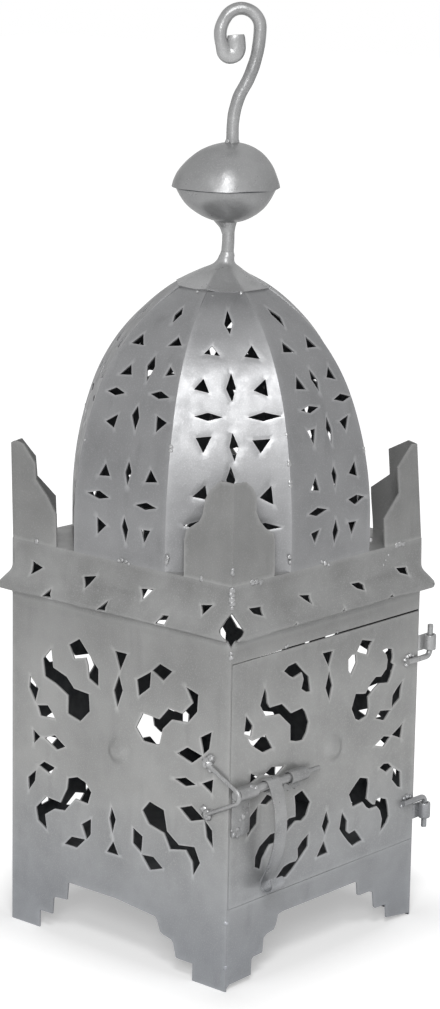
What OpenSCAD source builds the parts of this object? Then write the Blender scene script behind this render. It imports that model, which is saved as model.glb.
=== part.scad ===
/* [Body] */
// Outer width of the square body
body_w = 200; // [190:1:230]
// Height of the walls, from the floor to the cornice
wall_h = 235; // [232:1:270]
// Thickness of the wall, cornice and merlon sheet
sheet_t = 1.2; // [0.8:0.1:2]
// Height of the strip below the door, feet included
sill_h = 57; // [50:1:60]
// Height of the strip above the door
header_h = 9.6; // [8:0.2:14]
// Height of the floor pan above the ground
pan_z = 60; // [58.5:0.5:63]
// Depth of the floor pan's folded rim
pan_rim_h = 8; // [4:1:12]

/* [Feet] */
// Width of a foot where it meets the ground
foot_w = 27; // [20:1:32]
// Width of each step cut beside a foot
foot_step_w = 13; // [9:1:15]
// Height of each step cut beside a foot
foot_step_h = 13; // [9:0.5:14]

/* [Rosette] */
// Height of the rosettes' centres above the ground
rosette_z = 141; // [138:1:144]
// Width of a rosette
rosette_w = 170; // [150:1:176]
// Height of a rosette
rosette_h = 144; // [120:1:150]
// Height of the round bosses above the ground
boss_z = 145; // [141:1:149]
// Radius of a round boss
boss_r = 11; // [8:0.5:13]
// How far a boss stands out of its sheet
boss_rise = 3; // [2:0.5:4]

/* [Cornice] */
// Height of the cornice, from the walls to the deck
cornice_h = 41; // [39:1:48]
// How far the cornice bulges out of the wall plane
cornice_out = 7.5; // [7:0.5:9]
// Pitch of the triangles in the cornice
cornice_pitch = 52; // [48:1:54]
// Size of the triangles in the cornice
cornice_hole = 10; // [8:0.5:11]
// Height of the lower row of triangles above the cornice's foot
lower_row_z = 9.5; // [9:0.5:11]
// Height of the upper row of triangles above the cornice's foot
upper_row_z = 23; // [22:0.5:25]
// Height of the diamond cut in the cornice's corner
corner_cut_h = 24; // [20:1:26]
// Width of the diamond cut in the cornice's corner
corner_cut_w = 17; // [12:1:20]

/* [Deck] */
// Height of a corner merlon
merlon_h = 68; // [60:1:75]
// Length of a merlon's leg at its foot
merlon_leg = 42; // [38:1:44]
// Lip of a corner plate inside the dome's foot
plate_lip = 6; // [4:0.5:10]

/* [Dome] */
// Thickness of the dome sheet
dome_t = 1; // [0.8:0.1:1.4]
// Height of the dome's upright skirt
skirt_h = 19.5; // [18:0.5:24]
// Radius of the dome's long lower bend
low_bend_r = 265; // [255:5:275]
// Angle of the dome's long lower bend
low_bend_a = 18; // [17:0.5:19]
// Radius of the dome's upper bend
top_bend_r = 136; // [130:1:140]
// Slope of the gores' tips, measured from upright
tip_a = 62; // [61:0.5:63]
// Distance of the gores' tips from the dome's axis
tip_r = 12; // [10:0.5:14]
// Height of the lower rosette's centre along a gore
gore_rosette = 41; // [38:1:46]
// Pitch of the two rosettes along a gore
gore_pitch = 61.5; // [58:0.5:64]
// Reach of the rosettes' arms on a gore
gore_arm = 19.5; // [17:0.5:21]
// Height of the pair of triangles along a gore
gore_pair = 146; // [144:1:150]
// Half the spacing of the pair of triangles
gore_pair_x = 13; // [11:0.5:15]
// Height of the top diamond along a gore
gore_top = 168; // [164:1:172]
// Length of the diamonds cut in a gore
diamond_l = 20; // [16:0.5:22]
// Width of the diamonds cut in a gore
diamond_w = 6.2; // [5:0.2:8]
// Size of the triangles cut in a gore
triangle_w = 10.5; // [8:0.5:12]

/* [Finial] */
// Radius of the dome cap's rim
cap_r = 33; // [31:0.5:38]
// Thickness of the dome cap
cap_t = 1; // [0.8:0.1:1.4]
// Bend radius where the cap sweeps up into its collar
cap_bend_r = 7; // [5:0.5:10]
// Height of the cap's collar
cap_collar_h = 3; // [2:0.5:5]
// Diameter of the hook's rod
hook_d = 8.5; // [7:0.5:9]
// Height of the rod between the cap and the ball
neck_h = 19.5; // [14:0.5:24]
// Radius of the ball's upper bowl at its rim
upper_bowl_r = 36.7; // [34:0.1:40]
// Height of the ball's upper bowl
upper_bowl_h = 30; // [27:0.5:33]
// Height of the ball's lower bowl
lower_bowl_h = 25.5; // [22:0.5:28]
// How far the lower bowl's rim tucks into the upper bowl
bowl_tuck = 1.5; // [1:0.5:3]
// Thickness of the beaten bowls
bowl_t = 1; // [0.8:0.1:1.4]
// Straight length of the hook's stem above the ball
stem_h = 10; // [8:1:24]
// Bend radius of the hook's crown
crown_r = 12.45; // [11:0.05:14]
// Bend radius of the hook's inner curl
curl_r = 4.8; // [4.6:0.1:5.4]

/* [Door] */
// Thickness of the door sheet
door_t = 1.2; // [0.8:0.1:1.6]
// Gap between the door's edges and the walls
door_side_gap = 0.3; // [0.2:0.1:1]
// Gap between the door and the strip above it
door_top_gap = 1.4; // [0.8:0.1:2]
// Gap between the door and the strip below it
door_foot_gap = 0.5; // [0.3:0.1:1]
// How far the door stands proud of the wall edges
door_proud = 0.3; // [0.2:0.1:0.5]

/* [Hinges] */
// Diameter of the pintle rods
pintle_d = 4; // [3.5:0.1:4.4]
// Distance of the hinge axis outside the right wall
hinge_out = 10.5; // [9:0.5:14]
// Height of the upper pintle's leg
upper_pintle_z = 190; // [184:1:194]
// Height of the lower pintle's leg
lower_pintle_z = 86.5; // [84:0.5:92]
// Length of a pintle's leg on the door
pintle_leg = 13; // [9:1:16]
// Bend radius of the pintles
pintle_bend_r = 4; // [3.5:0.5:5]
// Length of a pintle beyond its sleeve
pintle_end = 7; // [4:1:10]
// Height of a hinge sleeve
sleeve_h = 11; // [9:0.5:14]
// Thickness of the sleeve strap
sleeve_t = 2; // [1.2:0.1:2.4]
// Length of a sleeve strap along the wall
sleeve_tail = 18; // [12:1:24]
// Radial gap between a rod and the strap rolled round it
roll_gap = 0.4; // [0.2:0.1:0.6]
// Gap between a pintle's bend and its sleeve
seat_gap = 0.5; // [0.3:0.1:0.8]

/* [Latch] */
// Diameter of the sliding bolt
bolt_d = 6; // [5:0.1:6.4]
// Length of the sliding bolt
bolt_l = 86; // [84:0.5:92]
// Height of the bolt above the ground
bolt_z = 137; // [134:1:140]
// Gap between the withdrawn bolt and the keeper
bolt_gap = 0.4; // [0.3:0.1:1]
// Width of the left guide
left_guide_w = 18; // [14:1:20]
// Width of the right guide
right_guide_w = 18; // [14:1:20]
// Gap between the left guide and the door's free corner
left_guide_in = 2; // [1:0.5:4]
// Gap between the two guides
guide_span = 34; // [32:0.5:38]
// Length of the left guide's tail
left_tail = 30; // [20:1:34]
// Length of the right guide's tail
right_tail = 10; // [6:1:12]
// Thickness of the guide straps
guide_t = 1.5; // [1.2:0.1:1.8]
// Width of the strap handle
handle_w = 13; // [11:0.5:15]
// Thickness of the strap handle
handle_t = 1.4; // [1:0.1:1.8]
// Outward slope of the handle's blade where it leaves the bolt
handle_lean = 23; // [21:1:26]
// Bend radius of the handle's bow
handle_bow_r = 70; // [60:1:80]
// Inward slope of the blade below its bow
handle_end_a = 27; // [24:1:29]
// Straight length between the handle's bow and its rolled end
handle_tail = 8; // [6:0.5:10]
// Outer radius of the handle's rolled end
handle_roll_r = 5.6; // [4.6:0.1:6]
// Gap between the handle and the right guide
handle_gap = 11.5; // [8:0.5:14]
// Diameter of the keeper's wire
keeper_d = 3; // [2.5:0.1:3.4]
// Gap between the bolt and the keeper's bend
keeper_gap = 0.7; // [0.5:0.1:1]
// Half the spread of the keeper's feet
keeper_spread = 17.5; // [14:0.5:20]
// Distance of the keeper's feet behind the front corner
keeper_back = 18; // [14:1:24]

/* [Hidden] */
$fn = 48;

// Silver paint, and the shade of the smaller forged pieces
paint = [0.62, 0.62, 0.61];
forged = [0.56, 0.57, 0.57];
// Longer than any cut goes through a sheet
through = 40;
// Longer than the whole object is wide
far = 400;
// Running gap left where two pieces of one assembly meet without a weld
fit = 0.1;
// Short flat between two bends of one sheet or rod
flat_l = 1;
// How far a straight is let into the bends beside it, and by how much their surfaces differ
lap = 0.3;
hair = 0.03;

half_w = body_w / 2;
inner_half = half_w - sheet_t;
deck_z = wall_h + cornice_h;

// The door fills the front between the walls, the sill and the header
door_half = inner_half - door_side_gap;
door_low = sill_h + door_foot_gap;
door_high = wall_h - header_h - door_top_gap;
door_face = half_w + door_proud;

// Hinge axis, outward of the front and beside the right wall
axis_out = door_face + pintle_d / 2;
axis_side = half_w + hinge_out;

// Bolt axis, outward of the front
bolt_out = door_face + guide_t + roll_gap + bolt_d / 2;
bolt_tip = -half_w + bolt_gap;
left_guide_end = -half_w + left_guide_in + left_guide_w;
right_guide_start = left_guide_end + guide_span;
handle_right = right_guide_start - handle_gap;

// Slopes of the cornice's two bends, and its bend radii, from foot to deck
cornice_low_a = 78;
cornice_high_a = 36;
cornice_foot = 2.5;
cornice_foot_r = 2;
cornice_bulge_r = 3;
cornice_top_r = 10;
low_run = (cornice_out - (cornice_foot_r + cornice_bulge_r) * (1 - cos(cornice_low_a)))
    / sin(cornice_low_a);
high_run = (cornice_out - (cornice_bulge_r + cornice_top_r) * (1 - cos(cornice_high_a)))
    / sin(cornice_high_a);
cornice_bent_h = cornice_foot
    + (cornice_foot_r + cornice_bulge_r) * sin(cornice_low_a) + low_run * cos(cornice_low_a)
    + (cornice_bulge_r + cornice_top_r) * sin(cornice_high_a) + high_run * cos(cornice_high_a);

// The gore's outer face, seen from the side: distance from the axis and height
low_bend_l = low_bend_r * low_bend_a * PI / 180;
top_bend_a = tip_a - low_bend_a;
top_bend_l = top_bend_r * top_bend_a * PI / 180;
low_end = [half_w - low_bend_r * (1 - cos(low_bend_a)), deck_z + skirt_h + low_bend_r * sin(low_bend_a)];
top_start = low_end + flat_l * [-sin(low_bend_a), cos(low_bend_a)];
top_end = top_start + top_bend_r * [cos(tip_a) - cos(low_bend_a), sin(tip_a) - sin(low_bend_a)];
tip_l = (top_end[0] - tip_r) / sin(tip_a);
gore_a = 45;

// Where a point at a height along the gore lies: [distance from axis, height, slope]
function gore_point(along) =
    along < skirt_h ? [half_w, deck_z + along, 0]
    : along < skirt_h + low_bend_l ? let (a = (along - skirt_h) / low_bend_r * 180 / PI)
        [half_w - low_bend_r * (1 - cos(a)), deck_z + skirt_h + low_bend_r * sin(a), a]
    : let (a = low_bend_a + (along - skirt_h - low_bend_l - flat_l) / top_bend_r * 180 / PI)
        [top_start[0] - top_bend_r * (cos(low_bend_a) - cos(a)),
         top_start[1] + top_bend_r * (sin(a) - sin(low_bend_a)), a];

// The cap is a cone that rests on the ridges between the gores, where both have one slope,
// or with its rim on the straight tips of the ridges where it is small
ridge = 1 / cos(gore_a / 2);
seat_a = atan(tan(tip_a) / ridge);
seat_r = (top_start[0] - top_bend_r * (cos(low_bend_a) - cos(seat_a))) * ridge;
seat_z = top_start[1] + top_bend_r * (sin(seat_a) - sin(low_bend_a));
hook_r = hook_d / 2;
collar_r = hook_r + fit + cap_t;
cap_run = (cap_r - collar_r - cap_bend_r * (1 - cos(tip_a))) / sin(tip_a);
cap_rim_z = seat_z + (fit + cap_t) / sin(tip_a)
    + (seat_r - cap_r) / tan(tip_a) / (cap_r < seat_r ? ridge : 1);
collar_z = cap_rim_z + cap_run * cos(tip_a) + cap_bend_r * sin(tip_a);

// The ball: two bowls, each part of a sphere, one tucked into the other
ball_z = collar_z + cap_collar_h + neck_h;
lower_rim_z = ball_z + lower_bowl_h;
upper_rim_z = lower_rim_z - bowl_tuck;
ball_top_z = upper_rim_z + upper_bowl_h;
upper_sphere_r = (pow(upper_bowl_r, 2) + pow(upper_bowl_h, 2)) / (2 * upper_bowl_h);
tuck_r = sqrt(pow(upper_sphere_r - bowl_t, 2) - pow(upper_sphere_r - upper_bowl_h + bowl_tuck, 2));
lower_bowl_r = tuck_r - 0.3;

// Bends of the hook, from its stem to its hammered end
hook_foot = collar_z - 12;
hook_path = [["straight", ball_top_z + stem_h - hook_foot], ["bend", 50, -30], ["straight", flat_l],
    ["bend", 78, 30], ["straight", flat_l], ["bend", crown_r, 150], ["straight", flat_l],
    ["bend", 22, 30], ["straight", 12], ["bend", curl_r, 180], ["straight", 11.5]];

// Round outlines of the rosette's cuts, one quarter of it, for a rosette 170 wide and 144 high
lobe = [[24, 38], [20, 28], [30, 18], [43, 20], [45, 31], [52, 38], [65, 40], [74, 50],
    [71, 64], [65, 62], [66, 54], [58, 46], [48, 48], [40, 39]];
inner_leaf = [[17, 47], [27, 53], [27, 64], [17, 58]];
top_kite = [[28.5, 66.5], [38, 64], [47, 70], [36, 74]];
side_kite = [[56, 19], [65, 14], [76, 20], [67, 25]];
side_leaf = [[77.5, 24], [84, 30], [84, 42], [77.5, 34]];
upright_diamond = [[0, 35], [4, 46], [0, 56], [-4, 46]];
upright_triangle = [[0, 60], [5.5, 69], [-5.5, 69]];
level_diamond = [[50, 0], [60, 4], [70, 0], [60, -4]];
level_triangle = [[74.5, 0], [84, 5.5], [84, -5.5]];

// Outline of a merlon's leg: [distance from the corner, height]
merlon_outline = [[0, 0], [merlon_leg, 0], [merlon_leg, merlon_h * 0.34],
    [merlon_leg * 0.57, merlon_h * 0.59], [merlon_leg * 0.55, merlon_h * 0.79],
    [merlon_leg * 0.24, merlon_h], [0, merlon_h]];

// Part of a ring: outer radius, thickness, first and last angle, at most 180 degrees apart
module ring_part(outer_r, t, first_a, last_a) {
    mid_a = (first_a + last_a) / 2;
    reach = 2 * outer_r;
    intersection() {
        difference() {
            circle(r = outer_r, $fn = 96);
            circle(r = outer_r - t, $fn = 96);
        }
        polygon([[0, 0], reach * [cos(first_a), sin(first_a)], reach * [cos(mid_a), sin(mid_a)],
            reach * [cos(last_a), sin(last_a)]]);
    }
}

// A bent sheet seen from its edge. The steps follow one face, and the sheet lies to their left.
// A step is ["straight", length] or ["bend", radius, angle], and a negative angle turns right.
// Straights and bends take turns, and each straight is let a little into its bends.
module sheet_run(steps, t, i = 0) {
    if (i < len(steps)) {
        step = steps[i];
        if (step[0] == "straight") {
            before = i > 0 ? lap : 0;
            after = i < len(steps) - 1 ? lap : 0;
            translate([-before, hair]) square([before + step[1] + after, t - 2 * hair]);
            translate([step[1], 0]) sheet_run(steps, t, i + 1);
        } else if (step[2] > 0) {
            translate([0, step[1]]) {
                ring_part(step[1], t, -90, step[2] - 90);
                rotate(step[2]) translate([0, -step[1]]) sheet_run(steps, t, i + 1);
            }
        } else {
            translate([0, -step[1]]) {
                ring_part(step[1] + t, t, 90 + step[2], 90);
                rotate(step[2]) translate([0, step[1]]) sheet_run(steps, t, i + 1);
            }
        }
    }
}

// A bent round rod that starts along X and bends in the XY plane, with steps as above
module rod_run(steps, r, i = 0) {
    if (i < len(steps)) {
        step = steps[i];
        if (step[0] == "straight") {
            before = i > 0 ? lap : 0;
            after = i < len(steps) - 1 ? lap : 0;
            translate([-before, 0, 0]) rotate([0, 90, 0]) cylinder(r = r, h = before + step[1] + after);
            translate([step[1], 0, 0]) rod_run(steps, r, i + 1);
        } else {
            side = step[2] > 0 ? 1 : -1;
            translate([0, side * step[1], 0]) {
                mirror([0, side > 0 ? 0 : 1, 0]) rotate([0, 0, -90])
                    rotate_extrude(angle = abs(step[2])) translate([step[1], 0]) circle(r = r - hair);
                rotate([0, 0, step[2]]) translate([0, -side * step[1], 0]) rod_run(steps, r, i + 1);
            }
        }
    }
}

// Turns a piece made for the right wall, outward along X, to the front
module to_front() {
    rotate([0, 0, -90]) children();
}

// Stands a drawing made in [along, up] on a wall plane, with its sheet inside of the plane
module on_wall(plane, t) {
    translate([plane - t, 0, 0]) rotate([90, 0, 90]) linear_extrude(t) children();
}

// A sharp wedge round the axis, used to mitre what meets at an angle
module wedge(angle, low, high) {
    half_a = angle / 2;
    translate([0, 0, low]) linear_extrude(high - low)
        polygon([[0, 0], [far, -far * tan(half_a)], [far, far * tan(half_a)]]);
}

// The rosette's cuts, centred on the drawing's origin
module rosette() {
    stretch = [rosette_w / 170, rosette_h / 144];
    for (sx = [-1, 1], sy = [-1, 1], cut = [lobe, inner_leaf, top_kite, side_kite, side_leaf])
        polygon([for (p = cut) [p[0] * sx * stretch[0], p[1] * sy * stretch[1]]]);
    for (s = [-1, 1], cut = [upright_diamond, upright_triangle, level_diamond, level_triangle])
        polygon([for (p = cut) [p[0] * s * stretch[0], p[1] * s * stretch[1]]]);
}

// Outline of a wall with its stepped feet, cut into a sheet of the given width
module footed_outline(width, height) {
    trim = (body_w - width) / 2;
    difference() {
        translate([-width / 2, 0]) square([width, height]);
        for (i = [0 : 2])
            translate([-width / 2 + foot_w - trim + i * foot_step_w, -1])
                square([width - 2 * (foot_w - trim + i * foot_step_w), (i + 1) * foot_step_h + 1]);
    }
}

// Beats a round boss out of a sheet whose outer face lies in the given plane
module bossed(plane, t) {
    sphere_r = (pow(boss_r, 2) + pow(boss_rise, 2)) / (2 * boss_rise);
    difference() {
        union() {
            children();
            intersection() {
                translate([plane + boss_rise - sphere_r, 0, boss_z]) sphere(r = sphere_r);
                translate([plane - t / 2, -boss_r, boss_z - boss_r])
                    cube([boss_rise + t, 2 * boss_r, 2 * boss_r]);
            }
        }
        translate([plane + boss_rise - sphere_r - t, 0, boss_z]) sphere(r = sphere_r);
    }
}

module wall_sheet(width) {
    bossed(half_w, sheet_t) on_wall(half_w, sheet_t) difference() {
        footed_outline(width, wall_h);
        translate([0, rosette_z]) rosette();
    }
}

module wall_left() {
    color(paint) rotate([0, 0, 180]) wall_sheet(body_w);
}

module wall_right() {
    color(paint) wall_sheet(body_w);
}

module wall_back() {
    color(paint) rotate([0, 0, 90]) wall_sheet(2 * inner_half);
}

module front_sill() {
    color(paint) to_front() on_wall(half_w, sheet_t) footed_outline(2 * inner_half, sill_h);
}

module front_header() {
    color(paint) to_front() on_wall(half_w, sheet_t)
        translate([-inner_half, wall_h - header_h]) square([2 * inner_half, header_h]);
}

// A square pan with its rim folded down against the walls
module floor_pan() {
    color(paint) difference() {
        translate([-inner_half, -inner_half, pan_z - pan_rim_h])
            cube([2 * inner_half, 2 * inner_half, pan_rim_h + sheet_t]);
        translate([sheet_t - inner_half, sheet_t - inner_half, pan_z - pan_rim_h - 1])
            cube([2 * (inner_half - sheet_t), 2 * (inner_half - sheet_t), pan_rim_h + 1]);
    }
}

// A triangle of the given size, pointing up, centred on its own height
module triangle(size) {
    polygon([[-size / 2, -size / 2], [size / 2, -size / 2], [0, size / 2]]);
}

// One length of the cornice. The holes' rows are shifted towards the cut corner.
module cornice(cut_side) {
    rest = cornice_h - cornice_bent_h;
    difference() {
        intersection() {
            rotate([90, 0, 0]) linear_extrude(far, center = true)
                translate([half_w, wall_h]) rotate(90)
                    sheet_run([["straight", cornice_foot], ["bend", cornice_foot_r, -cornice_low_a],
                        ["straight", low_run], ["bend", cornice_bulge_r, cornice_low_a + cornice_high_a],
                        ["straight", high_run], ["bend", cornice_top_r, -cornice_high_a],
                        ["straight", rest]], sheet_t);
            wedge(90, wall_h - 1, deck_z + 1);
        }
        for (i = [-1.5, -0.5, 0.5, 1.5])
            translate([half_w - through / 2, i * cornice_pitch, wall_h + upper_row_z])
                rotate([90, 0, 90]) linear_extrude(through)
                    rotate(abs(i) > 1 ? 180 : -90) triangle(cornice_hole);
        for (i = [-1.25, -0.25, 0.75])
            translate([half_w - through / 2, cut_side * i * cornice_pitch, wall_h + lower_row_z])
                rotate([90, 0, 90]) linear_extrude(through)
                    rotate(-20 * cut_side) triangle(cornice_hole * 0.8);
        rotate([0, 0, 45 * cut_side])
            translate([half_w, 0, wall_h + corner_cut_h / 2])
                rotate([90, 0, 90]) linear_extrude(2 * through)
                    polygon([[corner_cut_w / 2, 0], [0, corner_cut_h / 2],
                        [-corner_cut_w / 2, 0], [0, -corner_cut_h / 2]]);
    }
}

module cornice_front() {
    color(paint) to_front() cornice(-1);
}

module cornice_left() {
    color(paint) rotate([0, 0, 180]) cornice(1);
}

module cornice_back() {
    color(paint) rotate([0, 0, 90]) cornice(-1);
}

module cornice_right() {
    color(paint) cornice(1);
}

// Closes the deck outside the dome at one corner
module corner_plate(corner) {
    edge = (half_w - dome_t - plate_lip) * sqrt(2) - inner_half;
    color(paint) rotate([0, 0, 90 * corner]) translate([0, 0, deck_z - sheet_t]) linear_extrude(sheet_t)
        polygon([[inner_half, edge], [inner_half, inner_half], [edge, inner_half]]);
}

// A merlon folded from one sheet, standing on the cornice at one corner
module merlon(corner) {
    color(paint) rotate([0, 0, 90 * corner]) translate([half_w, half_w, deck_z]) {
        rotate([90, 0, -90]) linear_extrude(sheet_t) polygon([for (p = merlon_outline) p]);
        rotate([90, 0, 180]) mirror([0, 0, 1]) linear_extrude(sheet_t)
            polygon([for (p = merlon_outline) p]);
    }
}

// A diamond with its long axis upright
module diamond(length, width) {
    polygon([[width / 2, 0], [0, length / 2], [-width / 2, 0], [0, -length / 2]]);
}

// Cuts a drawing through the gore, square to the sheet, at a height along it
module gore_cut(along, across) {
    at = gore_point(along);
    translate([at[0], across, at[1]]) rotate([0, -at[2], 0])
        translate([-through / 8, 0, 0]) rotate([90, 0, 90]) linear_extrude(through / 4) children();
}

// One gore of the dome: a bent sheet, mitred on both sides and pierced
module dome_gore(place) {
    color(paint) rotate([0, 0, gore_a * place]) difference() {
        intersection() {
            rotate([90, 0, 0]) linear_extrude(body_w, center = true)
                translate([half_w, deck_z]) rotate(90)
                    sheet_run([["straight", skirt_h], ["bend", low_bend_r, low_bend_a],
                        ["straight", flat_l], ["bend", top_bend_r, top_bend_a],
                        ["straight", tip_l]], dome_t);
            wedge(gore_a, deck_z - 1, ball_z);
        }
        for (centre = [gore_rosette, gore_rosette + gore_pitch], s = [-1, 1]) {
            gore_cut(centre + s * gore_arm, 0) diamond(diamond_l, diamond_w);
            gore_cut(centre, s * gore_arm) rotate(90) diamond(diamond_l, diamond_w);
            for (side = [-1, 1])
                gore_cut(centre + s * gore_arm, side * gore_arm)
                    rotate(s > 0 ? 12 * side : 180) triangle(triangle_w);
        }
        for (side = [-1, 1])
            gore_cut(gore_pair, side * gore_pair_x) triangle(triangle_w);
        gore_cut(gore_top, 0) diamond(diamond_l * 0.85, diamond_w);
    }
}

module dome_cap() {
    color(paint) rotate_extrude() translate([cap_r, cap_rim_z]) rotate(90 + tip_a)
        sheet_run([["straight", cap_run], ["bend", cap_bend_r, -tip_a], ["straight", cap_collar_h]], cap_t);
}

// A beaten bowl, rim down, with a hole for the rod in its crown
module bowl(rim_r, height) {
    sphere_r = (pow(rim_r, 2) + pow(height, 2)) / (2 * height);
    rotate_extrude() translate([0, height - sphere_r]) intersection() {
        difference() {
            circle(r = sphere_r, $fn = 96);
            circle(r = sphere_r - bowl_t, $fn = 96);
        }
        translate([hook_r + fit, sphere_r - height]) square([sphere_r, height]);
    }
}

module ball_lower_bowl() {
    color(paint) translate([0, 0, lower_rim_z]) mirror([0, 0, 1]) bowl(lower_bowl_r, lower_bowl_h);
}

module ball_upper_bowl() {
    color(paint) translate([0, 0, upper_rim_z]) bowl(upper_bowl_r, upper_bowl_h);
}

// The rod runs from under the cap through the ball, and its hook faces the front left corner
module hook_rod() {
    color(forged) translate([0, 0, hook_foot]) rotate([0, 0, 45]) rotate([0, -90, 0])
        rod_run(hook_path, hook_r);
}

// A strap rolled round the hinge axis, with its tail folded along the right wall
module hinge_sleeve(low) {
    bore_r = pintle_d / 2 + roll_gap;
    color(forged) to_front() translate([0, 0, low]) linear_extrude(sleeve_h) difference() {
        union() {
            translate([axis_out, axis_side]) circle(r = bore_r + sleeve_t);
            translate([axis_out - bore_r - sleeve_t, half_w]) square([sleeve_t, hinge_out]);
            translate([axis_out - bore_r - sleeve_t - sleeve_tail, half_w])
                square([sleeve_tail + sleeve_t, sleeve_t]);
        }
        translate([axis_out, axis_side]) circle(r = bore_r);
    }
}

upper_sleeve_z = upper_pintle_z + pintle_bend_r + seat_gap;
lower_sleeve_z = lower_pintle_z - pintle_bend_r - seat_gap - sleeve_h;

module hinge_sleeve_upper() {
    hinge_sleeve(upper_sleeve_z);
}

module hinge_sleeve_lower() {
    hinge_sleeve(lower_sleeve_z);
}

// A wire bent round the bolt's way, with both feet on the left wall
module latch_keeper() {
    wire_r = keeper_d / 2;
    bend_r = bolt_d / 2 + keeper_gap + wire_r;
    reach = [bolt_out - half_w + keeper_back, keeper_spread];
    slant = atan2(reach[1], reach[0]) - asin(bend_r / norm(reach));
    leg = sqrt(pow(norm(reach), 2) - pow(bend_r, 2));
    color(forged) to_front()
        translate([half_w - keeper_back, -half_w - wire_r, bolt_z - keeper_spread])
            rotate([90, 0, 0]) rotate([0, 0, slant])
                rod_run([["straight", leg], ["bend", bend_r, 180 - 2 * slant], ["straight", leg]], wire_r);
}

module door_panel() {
    color(paint) to_front() bossed(door_face, door_t) on_wall(door_face, door_t) difference() {
        translate([-door_half, door_low]) square([2 * door_half, door_high - door_low]);
        translate([0, rosette_z]) rosette();
    }
}

// A rod welded to the door and bent up or down into its sleeve on the hinge axis
module pintle(z, turn) {
    leg = hinge_out + sheet_t + door_side_gap + pintle_leg - pintle_bend_r;
    color(forged) to_front() translate([axis_out, axis_side - pintle_bend_r - leg, z]) rotate([90, 0, 90])
        rod_run([["straight", leg], ["bend", pintle_bend_r, turn],
            ["straight", seat_gap + sleeve_h + pintle_end]], pintle_d / 2);
}

module pintle_upper() {
    pintle(upper_pintle_z, 90);
}

module pintle_lower() {
    pintle(lower_pintle_z, -90);
}

// A strap rolled round the bolt, with its tail flat on the door
module bolt_guide(right_end, width, tail) {
    bore_r = bolt_d / 2 + roll_gap;
    color(forged) to_front() translate([0, right_end, 0]) rotate([90, 0, 0]) linear_extrude(width)
        difference() {
            union() {
                translate([bolt_out, bolt_z]) circle(r = bore_r + guide_t);
                translate([door_face, bolt_z - tail]) square([guide_t, tail]);
            }
            translate([bolt_out, bolt_z]) circle(r = bore_r);
        }
}

module bolt_guide_left() {
    bolt_guide(left_guide_end, left_guide_w, left_tail);
}

module bolt_guide_right() {
    bolt_guide(right_guide_start + right_guide_w, right_guide_w, right_tail);
}

// The bolt is drawn back: its tip stands just clear of the keeper
module latch_bolt() {
    color(forged) to_front() translate([bolt_out, bolt_tip, bolt_z]) rotate([-90, 0, 0])
        cylinder(d = bolt_d, h = bolt_l);
}

// A strap curled round the bolt, bowed outward, and rolled outward at its lower end
module bolt_handle() {
    bore_r = bolt_d / 2 + roll_gap;
    color(forged) to_front() translate([0, handle_right, 0]) rotate([90, 0, 0]) linear_extrude(handle_w)
        translate([bolt_out, bolt_z]) {
            ring_part(bore_r + handle_t, handle_t, handle_lean, 160);
            ring_part(bore_r + handle_t, handle_t, 150, 290);
            rotate(handle_lean - 90) translate([-lap, bore_r])
                sheet_run([["straight", lap + flat_l], ["bend", handle_bow_r, -handle_lean - handle_end_a],
                    ["straight", handle_tail], ["bend", handle_roll_r, 150], ["straight", flat_l],
                    ["bend", handle_roll_r, 110]], handle_t);
        }
}

wall_left();
wall_right();
wall_back();
front_sill();
front_header();
floor_pan();
cornice_front();
cornice_left();
cornice_back();
cornice_right();
corner_plate(0);  // corner_plate_1
corner_plate(1);  // corner_plate_2
corner_plate(2);  // corner_plate_3
corner_plate(3);  // corner_plate_4
merlon(0);  // merlon_1
merlon(1);  // merlon_2
merlon(2);  // merlon_3
merlon(3);  // merlon_4
dome_gore(0);  // dome_gore_1
dome_gore(1);  // dome_gore_2
dome_gore(2);  // dome_gore_3
dome_gore(3);  // dome_gore_4
dome_gore(4);  // dome_gore_5
dome_gore(5);  // dome_gore_6
dome_gore(6);  // dome_gore_7
dome_gore(7);  // dome_gore_8
dome_cap();
ball_lower_bowl();
ball_upper_bowl();
hook_rod();
hinge_sleeve_upper();
hinge_sleeve_lower();
latch_keeper();
door_panel();
pintle_upper();
pintle_lower();
bolt_guide_left();
bolt_guide_right();
latch_bolt();
bolt_handle();
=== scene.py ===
import math
import random

import bpy
import numpy as np
from mathutils import Matrix, Vector, noise
from mathutils.geometry import delaunay_2d_cdt


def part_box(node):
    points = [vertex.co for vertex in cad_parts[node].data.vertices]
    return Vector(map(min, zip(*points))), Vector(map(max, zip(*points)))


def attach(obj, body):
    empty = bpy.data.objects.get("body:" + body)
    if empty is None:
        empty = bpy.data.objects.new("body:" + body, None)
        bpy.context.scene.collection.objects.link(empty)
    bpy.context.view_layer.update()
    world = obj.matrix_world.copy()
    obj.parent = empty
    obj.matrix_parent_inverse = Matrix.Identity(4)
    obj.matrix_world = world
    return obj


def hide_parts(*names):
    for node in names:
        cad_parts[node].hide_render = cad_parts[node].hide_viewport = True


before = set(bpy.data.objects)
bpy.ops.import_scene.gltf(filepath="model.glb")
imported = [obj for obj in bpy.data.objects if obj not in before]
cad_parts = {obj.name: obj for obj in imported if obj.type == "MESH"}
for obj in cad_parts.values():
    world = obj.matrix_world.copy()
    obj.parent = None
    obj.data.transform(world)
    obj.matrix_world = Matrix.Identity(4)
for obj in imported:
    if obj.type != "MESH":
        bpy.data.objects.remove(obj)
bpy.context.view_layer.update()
scene = bpy.context.scene

# All lengths are in millimetres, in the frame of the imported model, unless a comment says metres
MM = 0.001
HALF = 100.0
WALL_H = 235.0
DECK = 276.0
SHEET_T = 1.2
WHITE = (1.0, 1.0, 1.0, 1.0)


# Small sums
def cosd(angle):
    return math.cos(math.radians(angle))


def sind(angle):
    return math.sin(math.radians(angle))


def clamped(value):
    return min(1.0, max(0.0, value))


def smooth(value):
    """A soft step from 0 to 1."""
    value = clamped(value)
    return value * value * (3 - 2 * value)


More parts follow.
